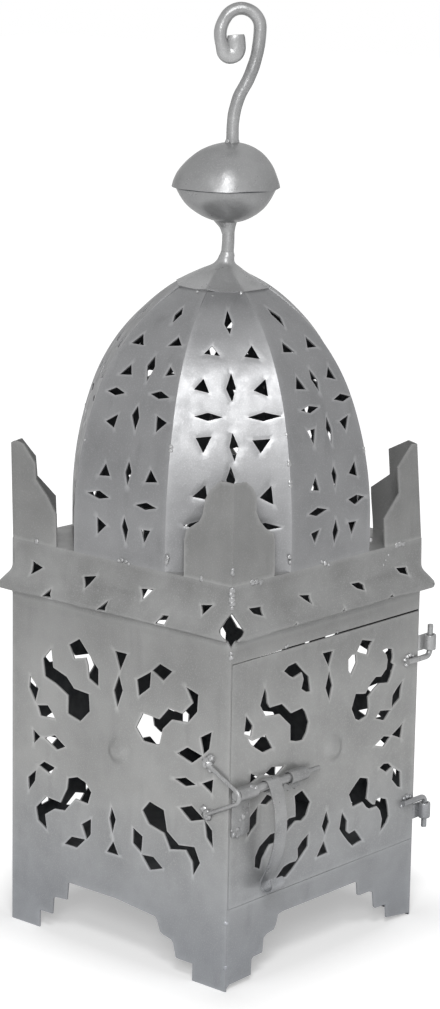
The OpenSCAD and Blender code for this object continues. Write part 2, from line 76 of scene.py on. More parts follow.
def turned(x, y, z, angle):
    c, s = cosd(angle), sind(angle)
    return c * x - s * y, s * x + c * y, z


def placed(shape, u, v, angle):
    """A flat shape turned by angle and moved to (u, v)."""
    return [(u + x, v + y) for x, y, _ in (turned(*corner, 0.0, angle) for corner in shape)]


def wave(point, size, seed=0.0):
    """A smooth random height between about -1 and 1, with lumps of the given size."""
    x, y, z = point
    return noise.noise(Vector((x / size + seed * 7.31, y / size - seed * 3.77, z / size + seed * 1.93)))


# Shader nodes
def feed(tree, socket, value):
    """Gives a socket a number, a colour or the output of another node."""
    if isinstance(value, (int, float)):
        socket.default_value = value
    elif isinstance(value, tuple):
        socket.default_value = (*value, 1.0)
    else:
        tree.links.new(value, socket)


def node(tree, kind, **values):
    """A new node, with each value given to the input or else the property of that name."""
    made = tree.nodes.new(kind)
    for key, value in values.items():
        if key in made.inputs:
            made.inputs[key].default_value = value
        else:
            setattr(made, key, value)
    return made


def grain(tree, coord, size, detail, rough, stretch=None):
    """A noise whose lumps are about size millimetres across."""
    if stretch:
        mapping = node(tree, "ShaderNodeMapping", Scale=stretch)
        feed(tree, mapping.inputs["Vector"], coord)
        coord = mapping.outputs["Vector"]
    made = node(tree, "ShaderNodeTexNoise", Scale=1000.0 / size, Detail=detail, Roughness=rough)
    feed(tree, made.inputs["Vector"], coord)
    return made.outputs["Fac"]


def ranged(tree, value, low, high, to_low, to_high):
    made = node(tree, "ShaderNodeMapRange", clamp=True)
    names = ("Value", "From Min", "From Max", "To Min", "To Max")
    for key, number in zip(names, (value, low, high, to_low, to_high)):
        feed(tree, made.inputs[key], number)
    return made.outputs["Result"]


def maths(tree, operation, a, b):
    made = node(tree, "ShaderNodeMath", operation=operation)
    feed(tree, made.inputs[0], a)
    feed(tree, made.inputs[1], b)
    return made.outputs["Value"]


def mixed(tree, factor, a, b, blend="MIX"):
    """Mixes two colours. Inputs 0, 6 and 7 of the node are its factor and its colours."""
    made = node(tree, "ShaderNodeMix", data_type="RGBA", blend_type=blend)
    for index, value in ((0, factor), (6, a), (7, b)):
        feed(tree, made.inputs[index], value)
    return made.outputs[2]


def shaded(colour, share):
    return tuple(min(1.0, c * share) for c in colour)


def begin(name):
    """A new material, with its node tree, its shader and its object coordinates."""
    material = bpy.data.materials.new(name)
    material.use_nodes = True
    tree = material.node_tree
    coord = node(tree, "ShaderNodeTexCoord").outputs["Object"]
    return material, tree, tree.nodes["Principled BSDF"], coord


def finished(tree, shader, values, height, strength, distance):
    """Gives the shader its values, and a bump that follows height."""
    for key, value in values.items():
        feed(tree, shader.inputs[key], value)
    bump = node(tree, "ShaderNodeBump", Strength=strength, Distance=distance)
    feed(tree, bump.inputs["Height"], height)
    feed(tree, shader.inputs["Normal"], bump.outputs["Normal"])


def seen_directly(tree):
    """1 for rays of the camera and what it sees mirrored or through, and 0 for light that bounces."""
    path = node(tree, "ShaderNodeLightPath").outputs
    seen = maths(tree, "MAXIMUM", path["Is Camera Ray"], path["Is Glossy Ray"])
    return maths(tree, "MAXIMUM", seen, path["Is Transmission Ray"])


# Paints
# How light the paint is at each height: painted shade, darkest up under the cornice and on the corner pieces,
# and a little dark at the foot
PAINTED_SHADE_TONES = [(0, 0.93), (40, 0.93), (120, 1.0), (186, 0.96), (210, 0.84), (226, 0.82), (250, 0.86), (276, 0.78),
         (300, 0.70)]
TONE_TOP = 400.0
# The foot of the body is a little bluer, most up to the first height in metres and none from the second
COOL, COOL_LOW, COOL_HIGH = (0.97, 1.0, 1.07), 0.02, 0.12


def with_painted_shade(tree, body, height, shade_tones):
    """Multiplies a colour by the tone for its height, which paints in shade."""
    ramp = node(tree, "ShaderNodeValToRGB")
    while len(ramp.color_ramp.elements) < len(shade_tones):
        ramp.color_ramp.elements.new(0.5)
    for element, (z, tone) in zip(ramp.color_ramp.elements, shade_tones):
        element.position = z / TONE_TOP
        element.color = (tone, tone, tone, 1.0)
    feed(tree, ramp.inputs["Fac"], maths(tree, "DIVIDE", height, TONE_TOP * MM))
    return mixed(tree, 1.0, body, ramp.outputs["Color"], "MULTIPLY")


def silver_paint(name, light, dark, rough, metallic, dent, dent_size, peel=0.00006,
                 streak=(1.0, 1.0, 0.22), shade_tones=()):
    """Aluminium paint brushed and sprayed over beaten metal."""
    material, tree, shader, coord = begin(name)
    clouds = grain(tree, coord, 45.0, 3.0, 0.6)
    streaks = grain(tree, coord, 14.0, 2.0, 0.5, streak)
    flakes = grain(tree, coord, 0.9, 1.0, 0.6)
    body = mixed(tree, ranged(tree, clouds, 0.32, 0.68, 0.0, 1.0), dark, light)
    body = mixed(tree, ranged(tree, streaks, 0.6, 0.86, 0.0, 0.4), body, shaded(dark, 0.62))
    body = mixed(tree, ranged(tree, flakes, 0.52, 0.75, 0.0, 0.45), body, shaded(light, 1.25))
    # Painted highlight on the cut edges and the border, broken up by the streaks
    rim = node(tree, "ShaderNodeAttribute", attribute_name="rim").outputs["Fac"]
    edge_highlight = maths(tree, "MULTIPLY", rim, ranged(tree, streaks, 0.3, 0.6, 0.5, 1.0))
    body = mixed(tree, edge_highlight, body, shaded(light, 1.5))
    axes = node(tree, "ShaderNodeSeparateXYZ")
    feed(tree, axes.inputs["Vector"], coord)
    height = axes.outputs["Z"]
    body = mixed(tree, ranged(tree, height, COOL_LOW, COOL_HIGH, 1.0, 0.0), body, COOL, "MULTIPLY")
    # Painted shade: the paint darkens by height where a table of tones is given
    if shade_tones:
        body = with_painted_shade(tree, body, height, shade_tones)
    spread = ranged(tree, grain(tree, coord, 9.0, 3.0, 0.6), 0.3, 0.7, rough - 0.07, rough + 0.07)
    dents = maths(tree, "MULTIPLY", grain(tree, coord, dent_size, 1.0, 0.4), dent)
    fine = maths(tree, "MULTIPLY", grain(tree, coord, 1.6, 2.0, 0.6), peel)
    finished(tree, shader, {
        "Base Color": body, "Roughness": spread, "Metallic": metallic, "Specular IOR Level": 0.3,
        "Specular Tint": (0.6, 0.6, 0.6)}, maths(tree, "ADD", dents, fine), 1.0, 1.0)
    return material


def bare_inside_and_lip_shade(name, dark, light):
    """The unpainted inside of the sheet: dark, dull and a little stained. At the lower bowl's rim it is
    painted shade.
    """
    material, tree, shader, coord = begin(name)
    stains = grain(tree, coord, 18.0, 4.0, 0.65)
    finished(tree, shader, {
        "Base Color": mixed(tree, ranged(tree, stains, 0.35, 0.7, 0.0, 1.0), dark, light),
        "Roughness": ranged(tree, stains, 0.3, 0.7, 0.55, 0.8), "Metallic": 0.3},
        grain(tree, coord, 3.0, 3.0, 0.6), 0.4, 0.0004)
    return material


# Light and dark colour, roughness, share of metal, depth of the dents in metres, their size in millimetres,
# and for some the depth of the fine peel in metres
SHEET = silver_paint("silver_sheet", (0.385, 0.386, 0.382), (0.305, 0.306, 0.303), 0.38, 0.28, 0.00045,
                     26.0, shade_tones=PAINTED_SHADE_TONES)
CORNICE_PAINT = silver_paint("silver_cornice", (0.41, 0.412, 0.41), (0.27, 0.271, 0.268), 0.38, 0.28, 0.00060,
                             16.0, streak=(0.14, 0.14, 1.4), shade_tones=PAINTED_SHADE_TONES)
# The dome wears a darker copy of the sheet paint: painted shade on its upturned gores
SHADED_DOME_PAINT = silver_paint("silver_dome_shaded", (0.285, 0.287, 0.293), (0.225, 0.227, 0.232), 0.39, 0.47, 0.00030, 24.0)
CAP = silver_paint("silver_cap", (0.42, 0.422, 0.426), (0.30, 0.302, 0.305), 0.33, 0.35, 0.00035, 14.0)
FORGED = silver_paint("silver_forged", (0.40, 0.402, 0.404), (0.23, 0.232, 0.234), 0.33, 0.40, 0.00030, 7.0,
                      0.00012)
BALL = silver_paint("silver_ball", (0.335, 0.337, 0.34), (0.25, 0.252, 0.255), 0.33, 0.40, 0.00030, 12.0,
                    0.00008)
WELD = silver_paint("silver_weld", (0.46, 0.462, 0.465), (0.26, 0.262, 0.265), 0.30, 0.45, 0.00030, 2.6,
                    0.00012)
INSIDE_AND_LIP_SHADE = bare_inside_and_lip_shade("bare_inside_and_lip_shade", (0.055, 0.061, 0.068), (0.160, 0.164, 0.172))


# Meshes
def make(name, verts, faces, body, replaced, materials, sharp, face_slots=None, rim=None):
    """A piece that rides on its body. replaced is the node whose place it takes, or nothing."""
    mesh = bpy.data.meshes.new(name)
    mesh.from_pydata([(x * MM, y * MM, z * MM) for x, y, z in verts], [], faces)
    for material in materials:
        mesh.materials.append(material)
    mesh.polygons.foreach_set("use_smooth", [True] * len(mesh.polygons))
    if face_slots is not None:
        mesh.polygons.foreach_set("material_index", face_slots)
    if rim is not None:
        mesh.attributes.new("rim", "FLOAT", "POINT").data.foreach_set("value", rim)
    mesh.validate()
    mesh.update()
    mesh.set_sharp_from_angle(angle=math.radians(sharp))
    obj = bpy.data.objects.new(name, mesh)
    scene.collection.objects.link(obj)
    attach(obj, body)
    if replaced:
        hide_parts(replaced)


def bands(first, rows, sides, closed=False):
    """Faces between rows of points, which are rings. closed joins the last ring to the first."""
    faces = []
    for i in range(rows if closed else rows - 1):
        low, high = first + i * sides, first + (i + 1) % rows * sides
        for k in range(sides):
            m = (k + 1) % sides
            faces.append((low + k, low + m, high + m, high + k))
    return faces


def between(a, b, count, number):
    """The first few of the points that divide the line from a to b in count equal parts."""
    return [(a[0] + (b[0] - a[0]) * i / count, a[1] + (b[1] - a[1]) * i / count) for i in range(number)]


def resampled(polygon, step):
    out = []
    for a, b in zip(polygon, polygon[1:] + polygon[:1]):
        count = max(1, round(math.dist(a, b) / step))
        out += between(a, b, count, count)
    return out


# Pierced sheets
# Length of a mesh side at the cuts, and how far the rows of points beside a cut lie from it
CUT_STEP, CUT_ROWS = 1.6, (0.8, 1.9)
# How near to an edge a point of these rows, any other point, and one beside a crease may come
ROW_GAP, EDGE_GAP, CREASE_GAP = 0.6, 2.6, 1.2
# The rings of the closer mesh on a boss, and how far round its middle it reaches
BOSS_RINGS, BOSS_MESH_R = (0.01, 1.6, 3.2, 4.8, 6.4, 8.0, 9.6, 11.2, 12.8), 13.0
# How wide the turned-in rim of a cut is, and the painted highlight at a cut and at the border
DIP_W, CUT_RIM_W, BORDER_RIM_W = 1.1, 0.9, 1.2


def within(points, polygon):
    ring = np.array(polygon)
    x, y = points[:, 0], points[:, 1]
    found = np.zeros(len(points), bool)
    for (ax, ay), (bx, by) in zip(ring, np.roll(ring, 1, axis=0)):
        if ay != by:
            found ^= ((ay > y) != (by > y)) & (x < (bx - ax) * (y - ay) / (by - ay) + ax)
    return found


def on_sheet(points, border, rings):
    """Which points lie inside the border and outside all cuts."""
    found = within(points, border)
    for ring in rings:
        found &= ~within(points, ring)
    return found


def edge_distance(points, polygons):
    """Distance of each point from the nearest side of the polygons."""
    least = np.full(len(points), 1e9)
    for polygon in polygons:
        ring = np.array(polygon)
        d = np.roll(ring, -1, axis=0) - ring
        length = np.maximum((d ** 2).sum(1), 1e-12)
        rel = points[:, None, :] - ring[None, :, :]
        t = np.clip((rel * d[None]).sum(2) / length[None], 0.0, 1.0)
        gap = rel - t[..., None] * d[None]
        least = np.minimum(least, np.sqrt((gap ** 2).sum(2)).min(1))
    return least


def beside(ring):
    """Rows of points round a cut, on the sheet's side of it."""
    pairs = list(zip(ring, ring[1:] + ring[:1]))
    turn = 1.0 if sum(a[0] * b[1] - b[0] * a[1] for a, b in pairs) > 0 else -1.0
    points = []
    for (ax, ay), (bx, by) in pairs:
        length = math.hypot(bx - ax, by - ay) or 1.0
        for reach in CUT_ROWS:
            points.append(((ax + bx) / 2 + turn * (by - ay) / length * reach,
                           (ay + by) / 2 - turn * (bx - ax) / length * reach))
    return points


def lattice(outline, step, seed):
    """Points spread over the sheet in staggered rows, each a little off its place."""
    rng = random.Random(seed)
    us, vs = zip(*outline)
    points, row, v = [], 0, min(vs)
    while v < max(vs):
        u = min(us) + (step / 2 if row % 2 else 0.0)
        while u < max(us):
            points.append((u + rng.uniform(-0.2, 0.2) * step, v + rng.uniform(-0.2, 0.2) * step))
            u += step
        v += step * 0.87
        row += 1
    return points


def boss_mesh(centre):
    """Rings of points round the middle of a boss."""
    points = []
    for r in BOSS_RINGS:
        count = max(1, round(3.8 * r))
        for k in range(count):
            a = 2 * math.pi * k / count
            points.append((centre[0] + r * math.cos(a), centre[1] + r * math.sin(a)))
    return points


def flat_mesh(outline, border, rings, step, seed, crease, fine):
    """Corners and triangles of a flat sheet, finest at cuts and boss, with sides along each crease."""
    fixed, edges = [], []
    for ring in [border] + rings:
        first = len(fixed)
        fixed += ring
        edges += [(first + i, first + (i + 1) % len(ring)) for i in range(len(ring))]
    for a, b in crease:
        count, first = max(2, round(math.dist(a, b) / 2.0)), len(fixed)
        fixed += between(a, b, count, count + 1)
        edges += [(first + i, first + i + 1) for i in range(count)]
    close = [point for ring in rings for point in beside(ring)]
    spread = lattice(outline, step, seed)
    if fine:
        spread = [p for p in spread if math.dist(p, fine) > BOSS_MESH_R] + boss_mesh(fine)
    spots = np.array(close + spread)
    least = np.full(len(spots), EDGE_GAP if rings else step * 0.45)
    least[:len(close)] = ROW_GAP
    keep = on_sheet(spots, border, rings) & (edge_distance(spots, [border] + rings) > least)
    if crease:
        keep &= edge_distance(spots, crease) > CREASE_GAP
    flat = [Vector(p) for p in fixed] + [Vector(p) for p in spots[keep]]
    corners, _, triangles, *_ = delaunay_2d_cdt(flat, edges, [], 0, 1e-5)
    corners = np.array([(c[0], c[1]) for c in corners])
    middles = np.array([corners[list(t)].mean(0) for t in triangles])
    return corners, [tuple(t) for t, k in zip(triangles, on_sheet(middles, border, rings)) if k]


def cut_sheet(name, node_name, outline, holes, place, seed, body="lantern", material=SHEET, thickness=SHEET_T,
              step=4.0, lip=0.35, edge_rim=0.25, inside=INSIDE_AND_LIP_SHADE, crease=(), fine=None):
    """A pierced sheet. outline and holes are drawn flat, and place(u, v) gives the point and the outward
    normal of the sheet's outer face there. The chisel turns the sheet in a little round each hole."""
    border = resampled(outline, step)
    rings = [resampled(hole, CUT_STEP) for hole in holes]
    corners, triangles = flat_mesh(outline, border, rings, step, seed, crease, fine)
    front, back, rim = [], [], []
    for (u, v), cut, edge in zip(corners, edge_distance(corners, rings), edge_distance(corners, [border])):
        point, normal = place(u, v)
        dip = -lip * math.exp(-(cut / DIP_W) ** 2)
        front.append(tuple(p + n * dip for p, n in zip(point, normal)))
        back.append(tuple(p + n * (dip - thickness) for p, n in zip(point, normal)))
        # rim carries the painted highlight at the cuts and along the border
        rim.append(max(math.exp(-(cut / CUT_RIM_W) ** 2) * 0.8,
                       edge_rim * math.exp(-(edge / BORDER_RIM_W) ** 2)))
    count = len(front)
    used = dict.fromkeys(side for a, b, c in triangles for side in ((a, b), (b, c), (c, a)))
    sides = [(b, a, a + count, b + count) for a, b in used if (b, a) not in used]
    faces = triangles + [(c + count, b + count, a + count) for a, b, c in triangles] + sides
    slots = [0] * len(triangles) + [1] * len(triangles) + [0] * len(sides)
    make(name, front + back, faces, body, node_name, (material, inside), 38.0, slots,
         rim + [0.0] * count)


# Walls and door
BOSS_Z = 145.0
BOSS_R, BOSS_FLANK, BOSS_RISE = 10.8, 8.3, 3.3
ROSETTE_Z = 141
LEFT_Z = 147


def wall_place(angle, plane, seed, amount, boss_at):
    """An uneven flat sheet that faces angle, true at its sides and top, with or without a boss."""
    def place(u, v):
        rise = amount * wave((u, v, 0.0), 60.0, seed) + amount * 0.35 * wave((u, v, 9.0), 17.0, seed)
        rise *= max(0.0, min(1.0, (HALF - abs(u)) / 14.0, (WALL_H - v) / 20.0))
        if boss_at is not None:
            rise += BOSS_RISE * smooth((BOSS_R - math.hypot(u - boss_at, v - BOSS_Z)) / BOSS_FLANK)
        return turned(plane + rise, u, v, angle), turned(1.0, 0.0, 0.0, angle)
    return place


def wall(name, node_name, outline, holes, angle, seed, boss_at=None, amount=0.5, plane=HALF, **more):
    """A sheet on one side of the body. boss_at is where its boss is along it."""
    fine = None if boss_at is None else (boss_at, BOSS_Z)
    place = wall_place(angle, plane, seed, amount, boss_at)
    cut_sheet(name, node_name, outline, holes, place, seed, fine=fine, **more)


def footed(half):
    """A plain wall with stepped feet."""
    left = [(-half, 0), (-73, 0), (-73, 13), (-60, 13), (-60, 26), (-47, 26), (-47, 39)]
    return left + [(-u, v) for u, v in reversed(left)] + [(half, WALL_H), (-half, WALL_H)]


# The cuts of the plain rosette from its middle: one quarter, and those on one side of its two axes
QUARTER = [
    [(24, 38), (20, 28), (30, 18), (43, 20), (45, 31), (52, 38), (65, 40), (74, 50), (71, 64), (65, 62),
     (66, 54), (58, 46), (48, 48), (40, 39)],
    [(17, 47), (27, 53), (27, 64), (17, 58)],
    [(28.5, 66.5), (38, 64), (47, 70), (36, 74)],
    [(56, 19), (65, 14), (76, 20), (67, 25)],
    [(77.5, 24), (84, 30), (84, 42), (77.5, 34)]]
AXIAL = [[(0, 35), (4, 46), (0, 56), (-4, 46)], [(0, 60), (5.5, 69), (-5.5, 69)],
         [(50, 0), (60, 4), (70, 0), (60, -4)], [(74.5, 0), (84, 5.5), (84, -5.5)]]


def by_hand(cut, sx, sy, slack, rng):
    """One cut of the rosette, a little off its place as a hand-held chisel leaves it."""
    du, dv = rng.uniform(-1.0, 1.0), rng.uniform(-1.0, 1.0)
    return [(sx * u + du + rng.uniform(-slack, slack), ROSETTE_Z + sy * v + dv + rng.uniform(-slack, slack))
            for u, v in cut]


def rosette(seed):
    rng = random.Random(seed)
    cuts = [by_hand(cut, sx, sy, 0.7, rng) for sx in (-1, 1) for sy in (-1, 1) for cut in QUARTER]
    return cuts + [by_hand(cut, s, s, 0.5, rng) for s in (-1, 1) for cut in AXIAL]


# The cuts of the two sheets that the photograph shows, in [along, up from LEFT_Z] and [along, height]
LEFT_CUTS = [
    [(-3, 67), (8, 67), (2, 54)], [(1, 51), (4.5, 41), (-0.5, 28), (-4, 39)],
    [(-5, -43), (-1, -51), (-4, -62), (-7, -52)], [(-3, -67), (2, -76), (-9, -76)],
    [(-80, -4), (-79, -14), (-73, -8)], [(-69, -8), (-59, -4), (-49, -10), (-57, -14)],
    [(52, -10), (62, -7), (71, -10), (62, -13)], [(76, -8), (86, -3), (85, -13)],
    [(-63, 57), (-71, 48), (-69, 36), (-59, 33), (-47, 27), (-47, 14), (-35, 11), (-26, 20), (-27, 32),
     (-41, 33), (-48, 40), (-61, 44), (-62, 50)],
    [(-36, 69), (-46, 63), (-41, 54), (-30, 57), (-28, 52), (-27, 43), (-18, 39), (-18, 51), (-22, 55),
     (-30, 63)],
    [(-83, 34), (-84, 25), (-78, 16), (-75, 26)], [(-76, 14), (-66, 16), (-62, 12), (-59, 8), (-73, 7)],
    [(23, 29), (17, 18), (24, 10), (38, 10), (41, 22), (49, 30), (63, 31), (71, 40), (72, 52), (61, 55),
     (67, 45), (58, 36), (46, 37), (38, 28)],
    [(17, 51), (30, 59), (29, 48), (19, 40)], [(31, 60), (38, 66), (49, 63), (41, 55)],
    [(84, 29), (74, 23), (77, 12), (82, 17)], [(54, 8), (63, 14), (76, 11), (67, 4)],
    [(30, -31), (43, -34), (46, -48), (57, -55), (71, -53), (76, -63), (70, -73), (69, -64), (63, -57),
     (49, -60), (43, -50), (29, -47), (23, -39)],
    [(15, -53), (24, -57), (23, -69), (15, -64)], [(23, -70), (34, -69), (43, -75), (31, -79)],
    [(57, -29), (68, -25), (79, -32), (67, -36)], [(79, -32), (86, -38), (87, -50), (81, -44)],
    [(-46, -32), (-37, -29), (-30, -31), (-24, -37), (-27, -46), (-39, -45), (-49, -56), (-59, -57),
     (-68, -63), (-66, -74), (-75, -69), (-77, -60), (-67, -50), (-53, -51), (-47, -40)],
    [(-24, -56), (-24, -67), (-28, -72), (-33, -62)], [(-29, -72), (-37, -80), (-49, -80), (-42, -73)],
    [(-69, -25), (-59, -27), (-63, -33), (-74, -29)], [(-77, -33), (-78, -41), (-84, -49), (-85, -40)]]
DOOR_CUTS = [
    [(-6, 214), (5, 213.5), (1, 203)], [(1.5, 200), (5.5, 189), (2.5, 179), (-2, 189)],
    [(2.5, 101), (6, 92), (1.5, 84), (-2, 91)], [(0.5, 80), (5, 70.5), (-7, 70)],
    [(-46, 209.5), (-42, 212), (-34, 213), (-26, 205.5), (-20, 200.5), (-18, 190), (-21.5, 190),
     (-27.5, 193.5), (-25.5, 200), (-27.5, 205), (-36, 203), (-40, 205)],
    [(-65.5, 202), (-63.5, 198), (-62.5, 191), (-60, 187.5), (-47.5, 187.5), (-38, 179), (-26, 180),
     (-23, 177), (-19, 168.5), (-21, 162), (-25, 157.5), (-31, 158), (-38, 160), (-38.5, 171), (-42, 174),
     (-50, 181), (-57, 181.5), (-64, 182.5), (-70, 191)],
    [(-84, 187), (-77, 178.5), (-78.5, 172), (-85.5, 175)],
    [(-82, 171.5), (-77, 168.5), (-70, 169), (-64, 169.5), (-61.5, 166), (-56.5, 159), (-66, 158),
     (-74, 163), (-79, 167)],
    [(36.5, 215), (48.5, 212), (45, 209), (43, 203.5), (34.5, 206.5), (31.5, 208)],
    [(22, 204), (26, 206.5), (30, 206), (31, 200), (25.5, 192.5), (22.5, 196)],
    [(60, 203), (64, 203.5), (70.5, 202), (72, 196), (70.5, 192), (73.5, 190), (70, 182), (67.5, 178.5),
     (57, 180), (51, 177), (45, 173), (46, 164), (43.5, 159.5), (36, 158), (31.5, 160), (27, 168), (31, 178),
     (38, 176.5), (42, 176), (47, 181.5), (53, 185.5), (59, 184.5), (65, 189), (66, 195), (64.5, 199)],
    [(84, 177), (82, 170), (81.5, 164.5), (72, 159), (72.5, 168), (78, 173)],
    [(54, 155.5), (59, 160), (71, 158), (64, 152)], [(54, 136), (64, 140.5), (71.5, 138.5), (64, 133)],
    [(73, 139.5), (81, 143), (85.5, 145.5), (83.5, 135)], [(-65, 142), (-57, 146), (-44, 143.5), (-52, 139)],
    [(-78, 146.5), (-70, 142), (-79, 139)], [(-69.5, 122.5), (-70.5, 110), (-80.5, 103), (-80, 115)],
    [(-68, 123), (-61, 128), (-54, 124), (-61, 121)],
    [(-32, 120), (-24, 122), (-15, 111.5), (-19, 103), (-24, 100.5), (-30, 102), (-36, 99), (-46, 92),
     (-57, 92), (-64, 84), (-66, 77), (-72, 80), (-72, 87), (-68, 93), (-57, 99), (-50, 99), (-43, 103),
     (-37, 105.5), (-30.5, 105), (-31, 113)],
    [(-16, 89.5), (-16.5, 80.5), (-26, 73), (-33, 68), (-39, 64.5), (-50, 66.5), (-42, 72.5), (-36, 73.5),
     (-29, 73.2), (-27, 75), (-27.5, 82), (-23, 86)],
    [(38, 116.5), (47, 114), (48, 110), (46.5, 99), (53, 93.5), (56, 93), (57, 96), (61, 96.5), (69, 93.5),
     (71, 88), (72.5, 80), (70, 76), (63, 71), (64.5, 80), (62, 87), (58, 91), (50, 91), (46, 93.5), (42, 98),
     (31, 97), (29.5, 101), (26.5, 107), (29, 109.5)],
    [(19.5, 96), (25.5, 88), (25, 81), (28, 78.5), (34, 79.5), (38, 75.5), (42.5, 70), (38, 69.5), (32, 68.5),
     (27, 73), (21, 79.5), (17, 84.5)],
    [(60, 118.5), (64.5, 120.5), (70, 119.5), (74, 116), (68, 113.5)],
    [(76, 115), (84, 110), (85, 98.5), (81, 100), (74.5, 106.5)]]

# The outlines of the left wall and of the front's three sheets, cut by hand
LEFT_FOOT = [
    (-100, 0), (-73, 0), (-73, 12.5), (-60.5, 13), (-59.5, 25), (-57, 26), (-46.5, 27), (-45, 39.5),
    (-43, 40), (0, 40), (20, 38), (36.5, 36.5), (38.5, 34), (41, 27), (44, 25.5), (51, 24), (53, 22),
    (55.5, 12.5), (58, 12), (70.5, 12), (70.5, 0), (100, 0), (100, WALL_H), (-100, WALL_H)]
SILL = [
    (-98.8, 2), (-96, 4.2), (-74, 5), (-73.5, 15.5), (-72, 17), (-62.5, 17.5), (-61.5, 27.5), (-58, 29.5),
    (-51, 30.5), (-49, 33), (-46.5, 40), (-42, 41), (36, 41), (38.5, 40), (39.5, 31), (41, 30), (52, 29.8),
    (57, 28), (58.5, 17), (60, 15.5), (72, 15), (73, 5), (98.8, 1.5), (98.8, 57), (-98.8, 57)]
HEADER = [(-98.8, 224.4), (-58, 224.5), (-40, 225.2), (98.8, 225.4), (98.8, 235.0), (-98.8, 235.0)]
DOOR = [(-98.7, 57.4), (98.5, 57.4), (98.5, 224.0), (-98.7, 224.0)]

wall("left_wall_sheet", "wall_left", LEFT_FOOT, [[(u, LEFT_Z + v) for u, v in cut] for cut in LEFT_CUTS], 180,
     1, 1.0)
wall("right_wall_sheet", "wall_right", footed(HALF), rosette(12), 0, 2, 0.0)
wall("back_wall_sheet", "wall_back", footed(HALF - SHEET_T), rosette(13), 90, 3, 0.0)
wall("front_sill_sheet", "front_sill", SILL, [], -90, 4, amount=0.3)
wall("front_header_sheet", "front_header", HEADER, [], -90, 5, amount=0.2, step=3.0)
wall("door_sheet", "door_panel", DOOR, DOOR_CUTS, -90, 6, 7.0, 0.35, HALF + 0.3, body="door")


# Bent paths and profiles
def walk(steps, step, start, heading):
    """Follows a path in a plane. A step is (length,) or (radius, angle), and positive angles turn left.
    A row is [distance gone, x, y, heading]."""
    gone, x, y = 0.0, *start
    rows = [(gone, x, y, heading)]
    for one in steps:
        length = one[0] if len(one) == 1 else abs(one[0] * math.radians(one[1]))
        count = max(2, int(length / step))
        turn = 0.0 if len(one) == 1 else one[1] / count
        for _ in range(count):
            x += cosd(heading + turn / 2) * length / count
            y += sind(heading + turn / 2) * length / count
            heading += turn
            gone += length / count
            rows.append((gone, x, y, heading))
    return rows


def run(steps, step=1.0, start=(0.0, 0.0), heading=0.0):
    """The points of such a path."""
    return [(x, y) for _, x, y, _ in walk(steps, step, start, heading)]


class Profile:
    """The outer face of a bent sheet seen from its edge, followed upward from its foot."""

    def __init__(self, start, steps):
        self.s, self.x, self.z, self.heading = np.array(walk(steps, 0.5, start, 90.0)).T
        self.length = float(self.s[-1])

    def at(self, s):
        """Distance from the axis, height, and slope of the outward normal."""
        x, z, heading = (float(np.interp(s, self.s, row)) for row in (self.x, self.z, self.heading))
        return x, z, heading - 90

    def along(self, z):
        return float(np.interp(z, self.z, self.s))

    def raised(self, u, s, rise, angle):
        """Point and outward normal where the sheet stands off by rise, on the side facing angle."""
        x, z, slope = self.at(s)
        normal = (cosd(slope), 0.0, sind(slope))
        return turned(x + rise * normal[0], u, z + rise * normal[2], angle), turned(*normal, angle)


# Cornice
# How far it stands out, its straight foot, its two slopes in degrees, and the radii of its three bends
OUT, FOOT = 7.5, 2.5
LOW, HIGH = 78, 36
R1, R2, R3 = 2, 3, 10
LOW_RUN = (OUT - (R1 + R2) * (1 - cosd(LOW))) / sind(LOW)
HIGH_RUN = (OUT - (R2 + R3) * (1 - cosd(HIGH))) / sind(HIGH)
BENT = FOOT + (R1 + R2) * sind(LOW) + LOW_RUN * cosd(LOW) + (R2 + R3) * sind(HIGH) + HIGH_RUN * cosd(HIGH)
CORNICE = Profile((HALF, WALL_H), [(FOOT,), (R1, -LOW), (LOW_RUN,), (R2, LOW + HIGH), (HIGH_RUN,),
                                   (R3, -HIGH), (DECK - WALL_H - BENT,)])
# Mesh lines that keep its lower bends round, each by its distance from the one before
CREASES = np.cumsum([FOOT, 1.4, 1.3, LOW_RUN, 1.5, 1.5, 1.5, 1.5, 3.0, 3.0])
# The notch that takes the lip away at one end of each side: its height, half its width and its depth
NOTCH_Z, NOTCH_W, NOTCH_IN = 247.0, 12.0, 8.5
# The plain holes: their spacing, the heights of their two rows, and their shape
PITCH, UPPER_ROW, LOWER_ROW = 52, 258.0, 244.8
CHIP = [(-5, -5), (5, -5), (0, 5)]
# The sheet may not swell past this distance from the axis
CORNICE_MOST = 107.1

# The small holes of the two cornices that the photograph shows, in [along, height]
CORNICE_CUTS = {
    "cornice_left": [
        [(-82, 253), (-80.5, 262.5), (-71, 259.5)], [(-32.5, 260), (-30, 252.5), (-20.5, 262.5)],
        [(20, 261), (22, 254), (31, 262.5)], [(73, 259.5), (75, 253.5), (83.5, 261.5)],
        [(-65, 241), (-58, 248.3), (-56, 242)], [(-14, 241), (-5.5, 249.5), (-5.5, 242)],
        [(39.5, 241.5), (43.5, 248.5), (48.5, 249), (47.5, 242)]],
    "cornice_front": [
        [(-83, 259), (-78.4, 254.8), (-70, 252), (-70.6, 258)], [(-32, 258.6), (-21, 251), (-21.5, 257)],
        [(23, 256.8), (28, 253), (35, 250.5), (35.5, 254), (31, 256.5)],
        [(72, 259.3), (76, 255.3), (84.5, 252.4), (83.5, 258)],
        [(-47, 240.4), (-42, 243.4), (-42, 240.6)], [(4, 240.6), (8, 244.5), (9, 240.6)],
        [(53, 240.2), (60, 244.3), (62, 240.8)]]}


